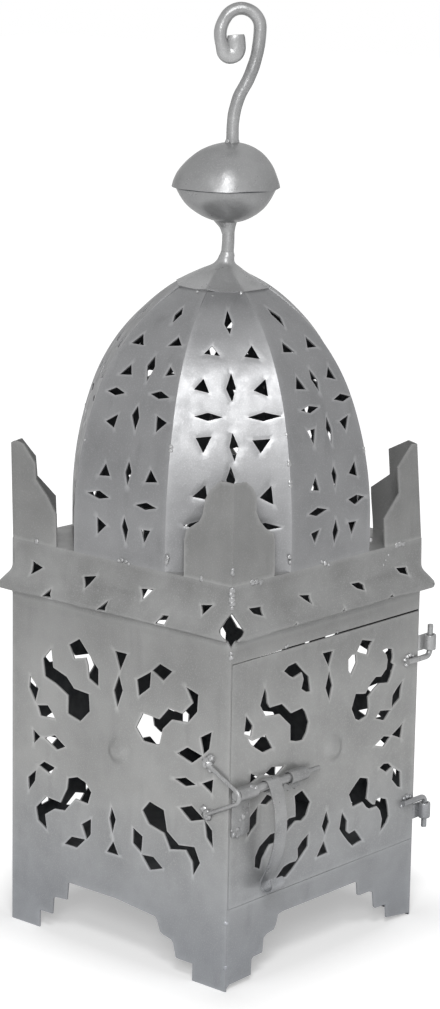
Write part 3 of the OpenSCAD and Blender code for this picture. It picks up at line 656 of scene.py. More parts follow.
def cornice(name, node_name, angle, notch_end, seed):
    """One side of the cornice, mitred at its ends and notched at one."""
    rng = random.Random(seed)

    def end(s, side):
        x, z, _ = CORNICE.at(s)
        notch = math.sqrt(2) * NOTCH_IN * max(0.0, 1 - abs(z - NOTCH_Z) / NOTCH_W)
        return x - (notch if side == notch_end else 0.0)

    def place(u, s):
        bulge = 0.7 * wave((u, s, 3.0), 34.0, seed) + 0.25 * wave((u, s, 7.0), 11.0, seed)
        bulge *= math.sin(math.pi * clamped(s / CORNICE.length))
        return CORNICE.raised(u, s, min(bulge, CORNICE_MOST - CORNICE.at(s)[0]), angle)

    rows = [CORNICE.length * i / 40 for i in range(41)]
    outline = [(end(s, 1), s) for s in rows] + [(-end(s, -1), s) for s in reversed(rows)]
    holes = []
    for i in (-1.5, -0.5, 0.5, 1.5):
        turn = (180 if abs(i) > 1 else -90) + rng.uniform(-12, 12)
        holes.append(placed(CHIP, i * PITCH, UPPER_ROW, turn))
    small = [(0.8 * u, 0.8 * v) for u, v in CHIP]
    for i in (-1.25, -0.25, 0.75):
        turn = -20 * notch_end + rng.uniform(-10, 10)
        holes.append(placed(small, notch_end * i * PITCH, LOWER_ROW, turn))
    holes = CORNICE_CUTS.get(node_name, holes)
    holes = [[(u, CORNICE.along(z)) for u, z in resampled(hole, 1.5)] for hole in holes]
    crease = [((0.6 - end(s, -1), s), (end(s, 1) - 0.6, s)) for s in CREASES]
    cut_sheet(name, node_name, outline, holes, place, seed, material=CORNICE_PAINT, step=3.2, lip=0.3,
              crease=crease)


cornice("cornice_front_sheet", "cornice_front", -90, -1, 21)
cornice("cornice_left_sheet", "cornice_left", 180, 1, 22)
cornice("cornice_back_sheet", "cornice_back", 90, -1, 23)
cornice("cornice_right_sheet", "cornice_right", 0, 1, 24)


# Corner pieces
MERLON_LEG, MERLON_H, MERLON_END = 42, 68.0, 58.0
FOLD_R = 0.7
PLAIN_LEG = [(42, 0), (42, 23), (24, 40), (23, 54), (10, 68), (0, 67)]
# For each corner piece its two legs, in [distance from the fold, height]
LEGS = {
    0: (PLAIN_LEG, PLAIN_LEG),
    1: (PLAIN_LEG,
        [(42, 0), (42, 23), (34, 34), (23.5, 44), (23, 55), (12, 67), (8, 68), (3, 68), (0, 66.5)]),
    2: ([(42, 0), (42, 24), (40.5, 31), (35, 35), (29, 39), (26, 44), (24, 54), (20, 61), (12, 68),
         (0, 67.7)],
        [(42, 0), (42, 24), (40, 29), (32, 34), (27, 39), (23, 46), (23, 56), (19, 62), (12, 67), (0, 67.7)]),
    3: ([(41, 0), (41, 20), (23, 35), (23, 53), (6, 67), (0, 66.5)],
        [(42, 0), (42, 30), (25, 41.5), (25, 59.5), (7.5, 68), (0, 66.5)])}
# How far each corner piece leans over at its top, away from the axis
LEAN = {0: 0.0, 1: 1.0, 2: 0.0, 3: -3.5}


def merlon(index, seed):
    """One folded corner piece. Its drawing runs along one leg, round the fold and along the other."""
    back_leg, front_leg = LEGS[index]
    top = front_leg[-1][1]
    outline = [(-u, v) for u, v in reversed(back_leg[:-1])] + [(0, 0)] + front_leg[:-1] + [(0, top)]
    angle = 90 * index
    half_arc = FOLD_R * math.pi / 4

    def place(across, v):
        # The drawing runs clockwise seen from above, so it is mirrored to keep the outer face outside.
        # The fold is a small round bend, and the outer faces stay on the body's planes.
        u = -across
        tilt = LEAN[index] * v / MERLON_H
        flat = abs(u) - half_arc
        if flat <= 0:
            t = 45 - 45 * u / half_arc
            normal = (cosd(t), sind(t), 0.0)
            x, y = (HALF - FOLD_R + FOLD_R * n + tilt for n in normal[:2])
            return turned(x, y, DECK + v, angle), turned(*normal, angle)
        swell = 0.8 * wave((u, v, index), 30.0, seed) * min(1.0, v / 20.0) * min(1.0, flat / 9.0)
        plane = HALF + (swell + tilt)
        reach = HALF - FOLD_R - flat * (HALF - FOLD_R - MERLON_END) / (MERLON_LEG - half_arc) + tilt
        if u > 0:
            return turned(plane, reach, DECK + v, angle), turned(1.0, 0.0, 0.0, angle)
        return turned(reach, plane, DECK + v, angle), turned(0.0, 1.0, 0.0, angle)

    cut_sheet(f"merlon_sheet_{index + 1}", f"merlon_{index + 1}", outline, [], place, seed, step=3.0,
              edge_rim=0.5, inside=SHEET, crease=[((0.0, 0.0), (0.0, top))])


for i in range(4):
    merlon(i, 31 + i)


# Dome
GORE = Profile((HALF, DECK), [(19.5,), (265, 18), (1.0,), (136, 44), (10.4,)])
GORE_TIP_R, GORE_T = 12.5, 1.0
GORE_TOP = float(np.interp(-GORE_TIP_R, -GORE.x, GORE.s))
# Half the angle of one of the eight sides, and the gore that faces the camera, which is the smoothest
HALF_SIDE, FRONT_GORE = 22.5, 5

# The plain cuts: the middles of the two rosettes along the gore, and their shapes
ROSETTES, ARM = (41.0, 102.5), 19.5
DIAMOND = [(3.1, 0), (0, 10), (-3.1, 0), (0, -10)]
SHORT_DIAMOND = [(3.1, 0), (0, 8.5), (-3.1, 0), (0, -8.5)]
TRIANGLE = [(-5.2, -5.2), (5.2, -5.2), (0, 5.2)]

# The cuts of the three gores that the photograph shows, in [across, along]
SEEN_CUTS = {
    4: [[(3.5, 181), (6.5, 175), (3.5, 167), (1, 174)], [(-15.5, 155.5), (-10.5, 147), (-21.5, 147)],
        [(15, 157), (21.5, 151), (10, 149)], [(3.5, 141), (7, 133), (4.5, 122), (0, 133)],
        [(-14, 132.5), (-10.5, 125), (-21, 124)], [(19.5, 135), (26, 130), (18, 128)],
        [(-27, 111.5), (-20, 115), (-11, 112), (-19, 109.5)],
        [(11, 114.5), (19, 117.5), (28, 114), (19, 112)], [(-12.5, 97.5), (-22.5, 91.5), (-14, 88)],
        [(21, 101), (31, 97.5), (23, 90)],
        [(3, 105.5), (6.5, 97.5), (5, 88.5), (-0.5, 98.5)], [(4, 68.5), (7.5, 61.5), (5, 52), (2, 60.5)],
        [(-16, 64), (-11, 56), (-21, 55)], [(24, 65.5), (31, 58), (20.5, 56.5)],
        [(-30.5, 42), (-19.5, 45), (-10.5, 41.5), (-19.5, 39.5)],
        [(13.5, 40.5), (23.5, 43.5), (32.5, 41), (22.5, 38.5)], [(-20.5, 27), (-12, 22.5), (-20, 15.5)],
        [(20, 25), (28, 25.5), (22.5, 16)], [(4, 31), (8, 23), (6, 14), (2, 24)]],
    5: [[(0.5, 180.5), (3.5, 169.5), (1.5, 160.5), (-2, 168.5)], [(-10.5, 151.5), (-5.5, 144), (-16, 145.5)],
        [(15.5, 152), (20.5, 142), (10.5, 143.5)], [(1.5, 132), (4.5, 122), (2, 112), (-2, 121)],
        [(-16.5, 128), (-13, 118), (-23, 120.5)], [(24, 128), (25.5, 116), (16, 120)],
        [(-23, 102.5), (-14, 105), (-4, 102), (-14, 99.5)],
        [(12, 102), (22.5, 105.5), (34.5, 103), (22, 99.5)], [(-22, 88.5), (-11.5, 89.5), (-17, 78.5)],
        [(15, 87), (27, 88), (20.5, 78.5)], [(2, 92), (6, 83), (3.5, 73), (0, 82.5)],
        [(-15.5, 57.5), (-24, 50), (-14, 48)], [(27.5, 57.5), (29, 45), (20, 49.5)],
        [(1, 70), (4, 61), (1, 51), (-2, 61)], [(-30, 31), (-20, 34), (-10, 31), (-20, 28.5)],
        [(14, 31), (24, 33), (35, 30), (24, 28)], [(-22, 24), (-13, 24), (-17, 15)],
        [(19, 24), (28, 24), (23, 15)], [(1, 31), (4, 22), (2, 12), (-1, 22)]],
    6: [[(-4.5, 181), (1, 172), (-1.5, 163), (-5.5, 175)], [(-11.5, 153), (-4.5, 144), (-15, 145.5)],
        [(13, 154), (18.5, 145), (9, 145.5)], [(1.5, 131), (6, 122.5), (4.5, 114.5), (0, 123.5)],
        [(-13, 127.5), (-8, 117.5), (-17.5, 119)], [(21.5, 130.5), (25, 120.5), (16, 123)],
        [(-18.5, 104.5), (-9.5, 106.5), (0, 104.5), (-9.5, 101.5)],
        [(17, 107.5), (25, 110.5), (35, 107.5), (26, 105)], [(-16, 90.5), (-7.5, 91), (-11.5, 80.5)],
        [(18.5, 92.5), (28.5, 95.5), (23, 85.5)], [(6, 97.5), (9, 88.5), (6.5, 78.5), (3.5, 89.5)],
        [(5.5, 64), (8, 57.5), (5, 49), (2.5, 59.5)], [(-14, 59.5), (-11.5, 50), (-20, 51.5)],
        [(27.5, 64.5), (29, 54), (20.5, 57)], [(-23.5, 36), (-14.5, 39), (-4.5, 36.5), (-15.5, 33.5)],
        [(18.5, 39.5), (27.5, 41.5), (35.5, 39), (25.5, 35)], [(-21, 22.5), (-12, 24), (-17, 15.5)],
        [(18, 24), (27, 23.5), (22, 15)], [(4.5, 28.5), (7.5, 20), (3, 12), (1, 20)]]}

# How far the tip of each gore is pressed in under the cap. Those below zero stand a little proud instead.
SUNK = (1.0, 0.6, -0.5, -1.2, 0.0, 0.6, 0.2, -0.6)
SUNK_FROM, SUNK_RUN = 170.0, 25.0


def gore(index, seed):
    """One of the eight bent and pierced sheets of the dome."""
    rng = random.Random(seed)
    share = math.tan(math.radians(HALF_SIDE))
    halves = [(GORE.at(s)[0] * share, s) for s in (GORE_TOP * i / 60 for i in range(61))]
    outline = halves + [(-u, s) for u, s in reversed(halves)]
    holes = []

    def cut(shape, u, s, turn=0.0):
        turn += rng.uniform(-5, 5)
        u += rng.uniform(-0.9, 0.9)
        s += rng.uniform(-0.9, 0.9)
        holes.append(placed(shape, u, s, turn))

    for centre in ROSETTES:
        for side in (-1, 1):
            cut(DIAMOND, 0, centre + side * ARM)
            cut(DIAMOND, side * ARM, centre, 90)
            cut(TRIANGLE, side * ARM, centre + ARM, 12 * side)
            cut(TRIANGLE, side * ARM, centre - ARM, 180)
    for side in (-1, 1):
        cut(TRIANGLE, side * 13, 146)
    cut(SHORT_DIAMOND, 0, 168)
    holes = SEEN_CUTS.get(index, holes)

    def place(u, s):
        edge = max(0.0, 1 - abs(u) / (GORE.at(s)[0] * share + 0.01))
        bulge = (0.4 if index == FRONT_GORE else 0.9) * wave((u, s, 1.0), 42.0, seed)
        bulge = (bulge + 0.2 * wave((u, s, 5.0), 15.0, seed)) * min(1.0, edge * 3)
        bulge = bulge * min(1.0, s / 10.0) - SUNK[index] * clamped((s - SUNK_FROM) / SUNK_RUN)
        return GORE.raised(u, s, bulge, 2 * HALF_SIDE * index)

    cut_sheet(f"gore_sheet_{index + 1}", f"dome_gore_{index + 1}", outline, holes, place, seed, material=SHADED_DOME_PAINT,
              thickness=GORE_T, step=3.6)


for i in range(8):
    gore(i, 41 + i)


# Turned and rod work
def lathe(name, rings, replaced, material, moved, segments=96, dark=()):
    """A closed shell turned round the axis. rings goes once round its section, moved(x, y, z) dents it, and
    the bands numbered in dark wear the dark inside paint as painted shade."""
    verts = []
    for r, z in rings:
        for k in range(segments):
            t = 2 * math.pi * k / segments
            verts.append(moved(r * math.cos(t), r * math.sin(t), z))
    slots = [int(i in dark) for i in range(len(rings)) for _ in range(segments)]
    faces = bands(0, len(rings), segments, True)
    make(name, verts, faces, "lantern", replaced, (material, INSIDE_AND_LIP_SHADE), 60.0, slots)


def sweep(name, path, radius, body, replaced, sides, dents, first_side=None, power=1.0):
    """A rod or strap along path. radius(t) gives two half-widths, dents has the depth, size and seed of its
    dents, and a low power squares the section."""
    points = [Vector(p) for p in path]
    deep, size, seed = dents
    side = Vector(first_side or (points[1] - points[0]).normalized().orthogonal().normalized())
    last = len(points) - 1
    verts = []
    for i, p in enumerate(points):
        ahead = (points[min(i + 1, last)] - points[max(i - 1, 0)]).normalized()
        side = (side - ahead * side.dot(ahead)).normalized()
        up = ahead.cross(side)
        a, b = radius(i / last)
        for k in range(sides):
            t = 2 * math.pi * k / sides
            c, s = (math.copysign(abs(v) ** power, v) for v in (math.cos(t), math.sin(t)))
            q = p + side * (c * a) + up * (s * b)
            verts.append(tuple(q + (q - p).normalized() * (deep * wave(q, size, seed))))
    faces = bands(0, last + 1, sides)
    start, end = len(verts), len(verts) + 1
    verts += [tuple(points[0]), tuple(points[-1])]
    for k in range(sides):
        m = (k + 1) % sides
        faces += [(start, m, k), (end, last * sides + k, last * sides + m)]
    make(name, verts, faces, body, replaced, (FORGED,), 50.0)


def heights(box):
    return box[0][2] / MM, box[1][2] / MM


# Cap, ball and hook
ROD_R, BORE_R = 4.25, 4.35
CAP_R, SHOULDER_R, CAP_SLOPE = 33, 7, 62
CAP_TOP = heights(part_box("dome_cap"))[1]
ROD_FOOT = heights(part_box("hook_rod"))[0]
UP_RIM, UP_TOP = heights(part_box("ball_upper_bowl"))
LOW_BOT, LOW_RIM = heights(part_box("ball_lower_bowl"))

# The rod was welded a few millimetres off the axis, to the right as the camera sees it, more so higher up
RIGHT = (0.657, -0.754)
OFF_Z = [462, 467, 472, 480, 494, 547, 562, 585]
OFF = [0, 1.4, 2.8, 3.3, 3.4, 4.9, 5.1, 4.5]


def leaning(z):
    return float(np.interp(z, OFF_Z, OFF))


def shifted(x, y, z, amount):
    return x + RIGHT[0] * amount, y + RIGHT[1] * amount, z


def cap_dents(x, y, z):
    """The cap is beaten down onto the eight flat gores, and stands off them at one place on the left."""
    r = math.hypot(x, y)
    around = math.degrees(math.atan2(y, x)) % 360
    off = (around + HALF_SIDE) % (2 * HALF_SIDE) - HALF_SIDE
    fade = clamped((r - 10) / 14)
    k = 1 + fade * (1.01 * cosd(HALF_SIDE) / cosd(off) - 1)
    lifted = 1.3 * fade ** 2 * math.exp(-((around - 204) / 11) ** 2)
    lifted += 2.2 * fade * math.exp(-((around - 131) / 45) ** 2)
    lifted += 0.25 * fade * wave((x, y, 0.0), 16.0, 3.0)
    return shifted(x * k, y * k, z - 1.1 * fade + lifted, leaning(z))


def cap_rings():
    """Section of the cap: its cone, a round shoulder and a short neck round the rod, and the same inside."""
    slant = (CAP_R - 5.35 - SHOULDER_R * (1 - cosd(CAP_SLOPE))) / sind(CAP_SLOPE)
    outer = [(CAP_R - sind(CAP_SLOPE) * slant * i / 24, cosd(CAP_SLOPE) * slant * i / 24) for i in range(25)]
    r0, z0 = outer[-1]
    for i in range(1, 17):
        a = CAP_SLOPE * (1 - i / 16)
        outer.append((r0 - SHOULDER_R * (cosd(a) - cosd(CAP_SLOPE)),
                      z0 + SHOULDER_R * (sind(CAP_SLOPE) - sind(a))))
    neck = outer[-1][1]
    outer += [(5.0, neck + 1.0), (4.65, neck + 2.0), (4.45, neck + 3)]
    lift = CAP_TOP - outer[-1][1]
    outer = [(r, z + lift) for r, z in outer]
    inner = [(max(BORE_R, r - 0.9), z - 1.1) if r > 7 else (BORE_R, z) for r, z in outer]
    return inner[::-1] + outer


def bowl_rings(rim_r, height, rim_z, up):
    """Section of a bowl of 1 mm sheet. up is 1 for the upper bowl and -1 for the lower one."""
    sphere = (rim_r ** 2 + height ** 2) / (2 * height)
    centre = rim_z + up * (height - sphere)
    top, rim = math.asin(BORE_R / sphere), math.asin(rim_r / sphere)
    outer, inner = [], []
    for i in range(33):
        a = rim + (top - rim) * i / 32
        outer.append((sphere * math.sin(a), centre + up * sphere * math.cos(a)))
        a = top + (rim - top) * i / 32
        inner.append(((sphere - 1.0) * math.sin(a) if i else BORE_R,
                      centre + up * (sphere - 1.0) * math.cos(a)))
    return outer + inner


def ball_dents(seed, rim_z, lip, pole):
    """Dents of a bowl with a wavy rim, whose pole goes aside with the rod."""
    def moved(x, y, z):
        r = math.hypot(x, y) or 1.0
        near = math.exp(-((z - rim_z) / 2.5) ** 2)
        k = 1 + (0.7 * wave((x, y, z), 15.0, seed) + 0.3 * wave((x, y, z), 7.0, seed)) / 36.0 * (1 - near)
        aside = 1.2 + (leaning(pole) - 1.2) * ((z - rim_z) / (pole - rim_z)) ** 2
        z += lip * near * wave((x / r * 12, y / r * 12, 0.0), 6.0, seed)
        return shifted(x * k, y * k, z, aside)
    return moved


def hook_width(t):
    """Round, but beaten flat and wide at the end, with its last edge a little rounded."""
    flat = smooth((t - 0.885) / 0.06)
    end = 1.0 - 0.10 * max(0.0, (t - 0.994) / 0.006)
    return (ROD_R - 1.5 * flat) * end, (ROD_R + 1.8 * flat) * end


lathe("cap_cone", cap_rings(), "dome_cap", CAP, cap_dents)
lathe("ball_upper", bowl_rings(36.5, 30, UP_RIM, 1), "ball_upper_bowl", BALL,
      ball_dents(5.0, UP_RIM, 0.9, UP_TOP))
# The two bands at the lower bowl's rim are painted shade, the dark line under the upper bowl's lip
lathe("ball_lower", bowl_rings(34.8, 25.5, LOW_RIM, -1), "ball_lower_bowl", BALL,
      ball_dents(6.0, LOW_RIM, 0.3, LOW_BOT), dark=(0, 1))
hook = run([(UP_TOP + 10 - ROD_FOOT,), (50, -30), (1,), (78, 30), (1,), (12.45, 150), (1,), (20, 50), (4,),
            (4.4, 165), (8.5,)])
hook = [shifted(-v * sind(45), v * cosd(45), ROD_FOOT + u, leaning(ROD_FOOT + u)) for u, v in hook]
sweep("hook_bar", hook, hook_width, "lantern", "hook_rod", 24, (0.22, 9.0, 8.0), (cosd(45), sind(45), 0.0))


# Latch and hinges
BOLT_Z, BOLT_OUT, LOOP_R = 137.0, 5.2, 4.1


def strap(name, points, place, half_wide, half_thick, side, body, replaced, seed):
    """A flat strap with rounded, rubbed edges along points, which place(a, b) puts in space."""
    def width(t):
        return half_wide * (1 + 0.03 * math.sin(9 * t + seed)), half_thick
    sweep(name, [place(a, b) for a, b in points], width, body, replaced, 24, (0.16, 7.0, seed), side, 0.35)


def section(x):
    """Puts [distance out from the front wall, height] in the section at x."""
    return lambda out, z: (x, -HALF - out, z)


def level(z):
    return lambda x, y: (x, y, z)


def bolt_width(t):
    """Round, and thinner at its right end."""
    r = 3.0 - 1.5 * clamped((t - 0.80) / 0.12) ** 1.3
    return r, r


lever = run([(LOOP_R, -267), (1,), (70.7, -50), (8,), (4.9, 150), (1,), (4.9, 110)], 0.8,
            (BOLT_OUT + LOOP_R * cosd(290), BOLT_Z + LOOP_R * sind(290)), 200)
strap("handle_strap", lever, section(-64.0), 6.2, 0.64, (1, 0, 0), "handle", "bolt_handle", 51.0)
for name, low, x, seed in (("left", 107, -89.0, 56.0), ("right", 127, -37.0, 57.0)):
    guide = run([(BOLT_Z - low,), (4.15, -330)], 0.8, (1.05, low), 90)
    strap(f"guide_strap_{name}", guide, section(x), 8.8, 0.75, (1, 0, 0), "door", f"bolt_guide_{name}", seed)
sweep("bolt_rod", [(-99.5 + 85.8 * i / 60, -HALF - BOLT_OUT, BOLT_Z) for i in range(61)], bolt_width, "bolt",
      "latch_bolt", 18, (0.18, 6.0, 53.0))
keeper = run([(28.59,), (5.2, 126.56), (28.59,)], 1.0, (-18.0, 119.5), 26.72)
sweep("keeper_wire", [(-101.5, -HALF - a, z) for a, z in keeper], lambda t: (1.45, 1.6), "lantern",
      "latch_keeper", 14, (0.15, 4.0, 54.0))
for name, z, turn in (("upper", 190.0, 90), ("lower", 86.5, -90)):
    pin = run([(21,), (4, turn), (18.5,)], 1.0, (85.5, z))
    sweep(f"pintle_rod_{name}", [(x, -102.3, y) for x, y in pin], lambda t: (2.0, 2.0), "door",
          f"pintle_{name}", 16, (0.12, 5.0, z))
    sleeve = run([(17.8,), (1.2, 90), (8.3,), (3.4, -330)], 0.8, (101.0, -79.9), -90)
    strap(f"sleeve_strap_{name}", sleeve, level(z + math.copysign(10.0, turn)), 5.5, 0.95, (0, 0, 1),
          "lantern", f"hinge_sleeve_{name}", z + 1.0)


# Welds
def corner_at(z):
    return (-99.6, -99.6, z), (-1.0, -1.0, 0.0)


def left_at(y, z, out=0.0):
    return (-HALF - out, y, z), (-1.0, 0.0, 0.0)


def front_at(x, z, out=0.0):
    return (x, -HALF - out, z), (0.0, -1.0, 0.0)


def round_at(angle, r, z):
    return shifted(r * cosd(angle), r * sind(angle), z, leaning(z)), (cosd(angle), sind(angle), 0.3)


def seam_at(angle, z):
    """On the seam between two gores."""
    return round_at(angle, float(np.interp(z, GORE.z, GORE.x)) / cosd(HALF_SIDE) - 0.7, z)


def weld(name, body, at, rows, seed):
    """Lumps of weld sunk in their sheet, merged in one piece. A row has what at() needs for the place, and
    then the size and height of the lump."""
    verts, faces = [], []
    for count, (*spot, size, high) in enumerate(rows):
        point, normal = at(*spot)
        centre, out = Vector(point), Vector(normal).normalized()
        side = out.orthogonal().normalized()
        up = out.cross(side)
        faces += bands(len(verts), 9, 14)
        for i in range(9):
            for k in range(14):
                a, b = math.pi * i / 8, 2 * math.pi * k / 14
                across = side * math.cos(b) + up * math.sin(b)
                d = out * (math.cos(a) * high) + across * (math.sin(a) * size)
                verts.append(tuple(centre + d * (1 + 0.45 * wave(centre + d, 1.8, seed + count))))
    make(name, verts, faces, body, None, (WELD,), 60.0)


weld("weld_front_corner", "lantern", corner_at, [
    (229.0, 1.6, 0.8), (232.0, 1.2, 0.6), (262.0, 1.6, 0.8), (265.0, 2.0, 1.1), (268.0, 2.4, 1.2),
    (271.0, 2.2, 1.1), (274.0, 2.0, 1.0), (285.0, 1.6, 0.7), (287.0, 1.4, 0.6), (48.0, 1.6, 0.6),
    (17.0, 1.5, 0.6)], 71.0)
weld("weld_deck_left", "lantern", left_at, [
    (0, 276.5, 1.4, 0.9), (-3, 277.5, 1.7, 1.1), (-6.5, 277, 1.5, 1.0), (-9, 276, 1.2, 0.8),
    (-42.5, 283, 1.9, 1.0), (-43.5, 286, 2.0, 1.1), (-73, 277, 2.0, 0.8), (77, 277, 2.1, 0.8)], 72.0)
weld("weld_deck_front", "lantern", front_at, [
    (-9.5, 277.5, 1.6, 1.0), (-6, 276, 1.8, 1.2), (-2.5, 274.5, 1.4, 0.9), (-42.5, 283, 1.5, 1.1),
    (-43.5, 286.5, 1.6, 1.1), (-80, 276, 2.4, 0.9), (-76, 275.5, 2.2, 0.8), (-71.5, 274.5, 1.9, 0.7),
    (72, 275.5, 2.0, 0.8), (75.5, 275.8, 2.2, 0.9), (79.5, 275, 2.0, 0.8), (63, 270, 0.9, 0.5),
    (60, 267, 0.9, 0.5), (57.5, 264, 0.8, 0.5), (42.5, 284, 1.5, 1.0)], 73.0)
weld("weld_keeper", "lantern", left_at, [
    (-82.0, 155.0, 0.4, 4.4, 3.4), (-85.0, 158.5, 0.2, 3.0, 2.4), (-84.5, 151.0, 0.4, 2.4, 1.8),
    (-82.0, 119.0, 0.4, 3.9, 2.8), (-79.0, 122.5, 0.3, 2.6, 2.0), (-86.0, 122.0, 0.4, 2.2, 1.7)], 74.0)
weld("weld_guides", "door", front_at, [
    (-81.5, 124.0, 0.6, 2.0, 1.0), (-83.0, 121.5, 0.8, 1.7, 1.1), (-86.5, 119.0, 1.5, 2.1, 0.9),
    (-89.5, 117.5, 1.6, 1.6, 0.8), (-92.5, 112.0, 1.6, 1.9, 0.8), (-95.0, 108.5, 1.0, 2.2, 1.2),
    (-91.5, 107.0, 0.8, 1.8, 1.1), (-97.0, 112.0, 1.2, 1.8, 0.9), (-83.0, 139.5, 8.8, 1.7, 0.8),
    (-86.5, 140.8, 8.0, 1.5, 0.7), (-40.0, 126.8, 0.6, 1.3, 0.9), (-33.0, 126.8, 0.6, 1.5, 1.0)], 75.0)
weld("weld_pintles", "door", front_at, [
    (84.5, 191.5, 0.6, 1.6, 1.4), (87, 193.2, 0.6, 1.7, 1.4), (90, 193.8, 0.6, 1.7, 1.3),
    (93.5, 192.8, 0.6, 1.4, 1.2), (86, 187.8, 0.6, 1.5, 1.2), (88.5, 89.5, 0.6, 1.6, 1.3),
    (92, 90.3, 0.6, 1.9, 1.6), (95.5, 89.2, 0.6, 1.4, 1.2), (85.5, 84.5, 0.6, 1.5, 1.2)], 76.0)
weld("weld_header", "lantern", front_at, [
    (-45, 225.8, 0.1, 1.2, 0.6), (-43.2, 226.4, 0.1, 0.9, 0.5), (9, 225.9, 0.1, 1.2, 0.6)], 77.0)
weld("weld_cap", "lantern", round_at, [
    (190, 32.2, 450.4, 1.2, 0.9), (210, 34.0, 447.5, 1.7, 1.1), (244, 32.4, 450.2, 1.6, 1.1),
    (249, 34.2, 446.6, 1.5, 1.0), (309, 32.4, 450.2, 1.4, 1.0), (20, 32.4, 450.2, 1.5, 1.1),
    (95, 32.4, 450.2, 1.5, 1.1)], 78.0)
# Heights of the lumps on each seam of the dome
SEAMS = {202.5: (355.5, 358), 247.5: (333, 336, 347, 349, 366), 157.5: (352,), 292.5: (345, 347),
         337.5: (371,), 22.5: (366,), 67.5: (320,), 112.5: (362,)}
weld("weld_seams", "lantern", seam_at, [(a, z, 1.5, 1.0) for a, zs in SEAMS.items() for z in zs], 79.0)
weld("weld_ball", "lantern", round_at, [
    (350, 4.4, 548.2, 1.8, 1.1), (170, 4.4, 548.2, 1.8, 1.1), (80, 4.4, 548.2, 1.7, 1.0)], 80.0)


def flared(x, y, z):
    """The weld under the ball spreads mostly to the left."""
    r = math.hypot(x, y)
    share = 0.3 + 0.7 * max(0.0, math.cos(math.atan2(y, x) - math.radians(131)))
    k = (4.1 + (r - 4.1) * share + 0.25 * wave((x, y, z), 4.0, 81.0)) / r
    return shifted(x * k, y * k, z, leaning(z))


FLARE = [(4.0, 495.2), (4.0, 485.8), (4.4, 486.6), (4.9, 488.2), (5.8, 490.0), (7.2, 491.8), (9.0, 493.6),
         (10.2, 495.0)]
lathe("weld_ball_flare", FLARE, None, FORGED, flared, 36)


# Floor and background
# The floor glows less near the object, a painted shadow, and further out, in metres, the floor runs into the
# white round it
NEAR, FAR = 0.1, 0.13
PAINTED_SHADOW_GLOW = 0.40
# The light from all round is strongest from the camera's side
AHEAD = (-0.752, -0.654, 0.087)
AHEAD_LIGHT, ALL_ROUND = 0.15, 0.09


def floor_white():
    """A white floor that glows for the camera, less near the object, where the weaker glow is a painted
    shadow.
    """
    material, tree, *_ = begin("floor_white")
    tree.nodes.clear()
    seen = seen_directly(tree)
    diffuse = node(tree, "ShaderNodeBsdfDiffuse")
    feed(tree, diffuse.inputs["Color"], mixed(tree, seen, (0.86, 0.86, 0.86), (0.75, 0.75, 0.75)))
    away = node(tree, "ShaderNodeTexCoord").outputs["Object"]
    # How far a spot is from the square round the object
    for operation, value in (("ABSOLUTE", None), ("SUBTRACT", NEAR), ("MAXIMUM", 0.0), ("LENGTH", None)):
        made = node(tree, "ShaderNodeVectorMath", operation=operation)
        feed(tree, made.inputs[0], away)
        if value is not None:
            made.inputs[1].default_value = (value, value, value)
        away = made.outputs["Value" if operation == "LENGTH" else "Vector"]
    glow = node(tree, "ShaderNodeEmission", Color=WHITE)
    # The weaker glow near the object is a painted shadow
    strength = maths(tree, "MULTIPLY", seen, ranged(tree, away, 0.0, FAR, PAINTED_SHADOW_GLOW, 1.0))
    feed(tree, glow.inputs["Strength"], strength)
    both = node(tree, "ShaderNodeAddShader")
    feed(tree, both.inputs[0], diffuse.outputs[0])
    feed(tree, both.inputs[1], glow.outputs[0])
    feed(tree, node(tree, "ShaderNodeOutputMaterial").inputs["Surface"], both.outputs[0])
    return material


def studio():
    """A world that is white where the camera sees it, and a soft light for all else."""
    world = bpy.data.worlds.new("studio")
    scene.world = world
    world.use_nodes = True
    tree = world.node_tree
    tree.nodes.clear()
    facing = node(tree, "ShaderNodeVectorMath", operation="DOT_PRODUCT")
    facing.inputs[1].default_value = AHEAD
    feed(tree, facing.inputs[0], node(tree, "ShaderNodeTexCoord").outputs["Generated"])
    ahead = maths(tree, "POWER", maths(tree, "MAXIMUM", facing.outputs["Value"], 0.0), 2.0)
    soft = node(tree, "ShaderNodeBackground", Color=WHITE)
    strength = maths(tree, "ADD", maths(tree, "MULTIPLY", ahead, AHEAD_LIGHT), ALL_ROUND)
    feed(tree, soft.inputs["Strength"], strength)
    white = node(tree, "ShaderNodeBackground", Color=WHITE, Strength=1.0)
    blend = node(tree, "ShaderNodeMixShader")
    for socket, value in zip(blend.inputs, (seen_directly(tree), soft.outputs[0], white.outputs[0])):
        feed(tree, socket, value)
    feed(tree, node(tree, "ShaderNodeOutputWorld").inputs["Surface"], blend.outputs[0])


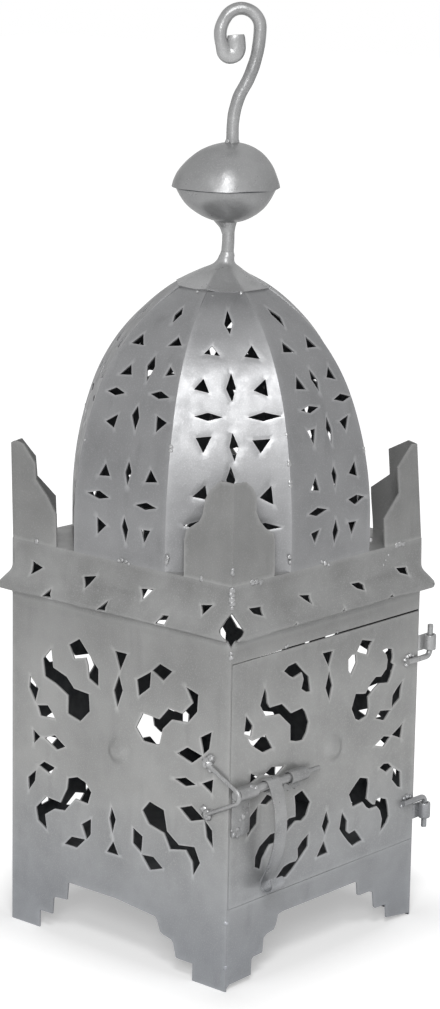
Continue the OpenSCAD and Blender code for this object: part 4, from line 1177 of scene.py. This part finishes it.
floor_mesh = bpy.data.meshes.new("floor")
floor_mesh.from_pydata([(-9, -9, 0), (9, -9, 0), (9, 9, 0), (-9, 9, 0)], [], [(0, 1, 2, 3)])
floor = bpy.data.objects.new("floor", floor_mesh)
floor_mesh.materials.append(floor_white())
scene.collection.objects.link(floor)
studio()


# Lamps and camera, in metres and degrees
def toward(azimuth, elevation):
    """The direction from the object to a lamp or the camera. Azimuth 0 is the front and -90 the left."""
    level_part = cosd(elevation)
    return Vector((sind(azimuth) * level_part, -cosd(azimuth) * level_part, sind(elevation)))


LAMPS_AIM = Vector((0.0, 0.0, 0.33))


def area_light(name, azimuth, elevation, distance, size, power):
    data = bpy.data.lights.new(name, "AREA")
    data.shape = "RECTANGLE"
    data.size, data.size_y = size
    data.energy = power
    obj = bpy.data.objects.new(name, data)
    way = toward(azimuth, elevation)
    obj.location = LAMPS_AIM + distance * way
    obj.rotation_euler = way.to_track_quat("Z", "Y").to_euler()
    scene.collection.objects.link(obj)


area_light("front", -52, 22, 2.4, (0.8, 0.6), 25.5)
area_light("above", -46, 43, 2.2, (0.6, 0.5), 17)

AZIMUTH, ELEVATION, ROLL = -48.95, 12.35, 0.98
LENS, DISTANCE = 98.84, 1.9063
AIM_RIGHT, AIM_Z = 0.00089, 0.2994

camera_data = bpy.data.cameras.new("camera")
camera = bpy.data.objects.new("camera", camera_data)
scene.collection.objects.link(camera)
scene.camera = camera
camera_data.sensor_fit = "AUTO"
camera_data.sensor_width = 36.0
camera_data.lens = LENS
camera_data.clip_start = 0.05
camera_data.clip_end = 50.0
back = toward(AZIMUTH, ELEVATION)
right = Vector((cosd(AZIMUTH), sind(AZIMUTH), 0.0))
spot = right * AIM_RIGHT + Vector((0.0, 0.0, AIM_Z)) + back * DISTANCE
up = back.cross(right)
right, up = cosd(ROLL) * right + sind(ROLL) * up, cosd(ROLL) * up - sind(ROLL) * right
camera.matrix_world = Matrix([(right[k], up[k], back[k], spot[k]) for k in range(3)] + [(0.0, 0.0, 0.0, 1.0)])

scene.view_settings.view_transform = "Standard"

# The solids wear the same paints, for those that nothing replaces
for name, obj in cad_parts.items():
    obj.data.materials.clear()
    obj.data.materials.append(INSIDE_AND_LIP_SHADE if name == "floor_pan" else SHEET)
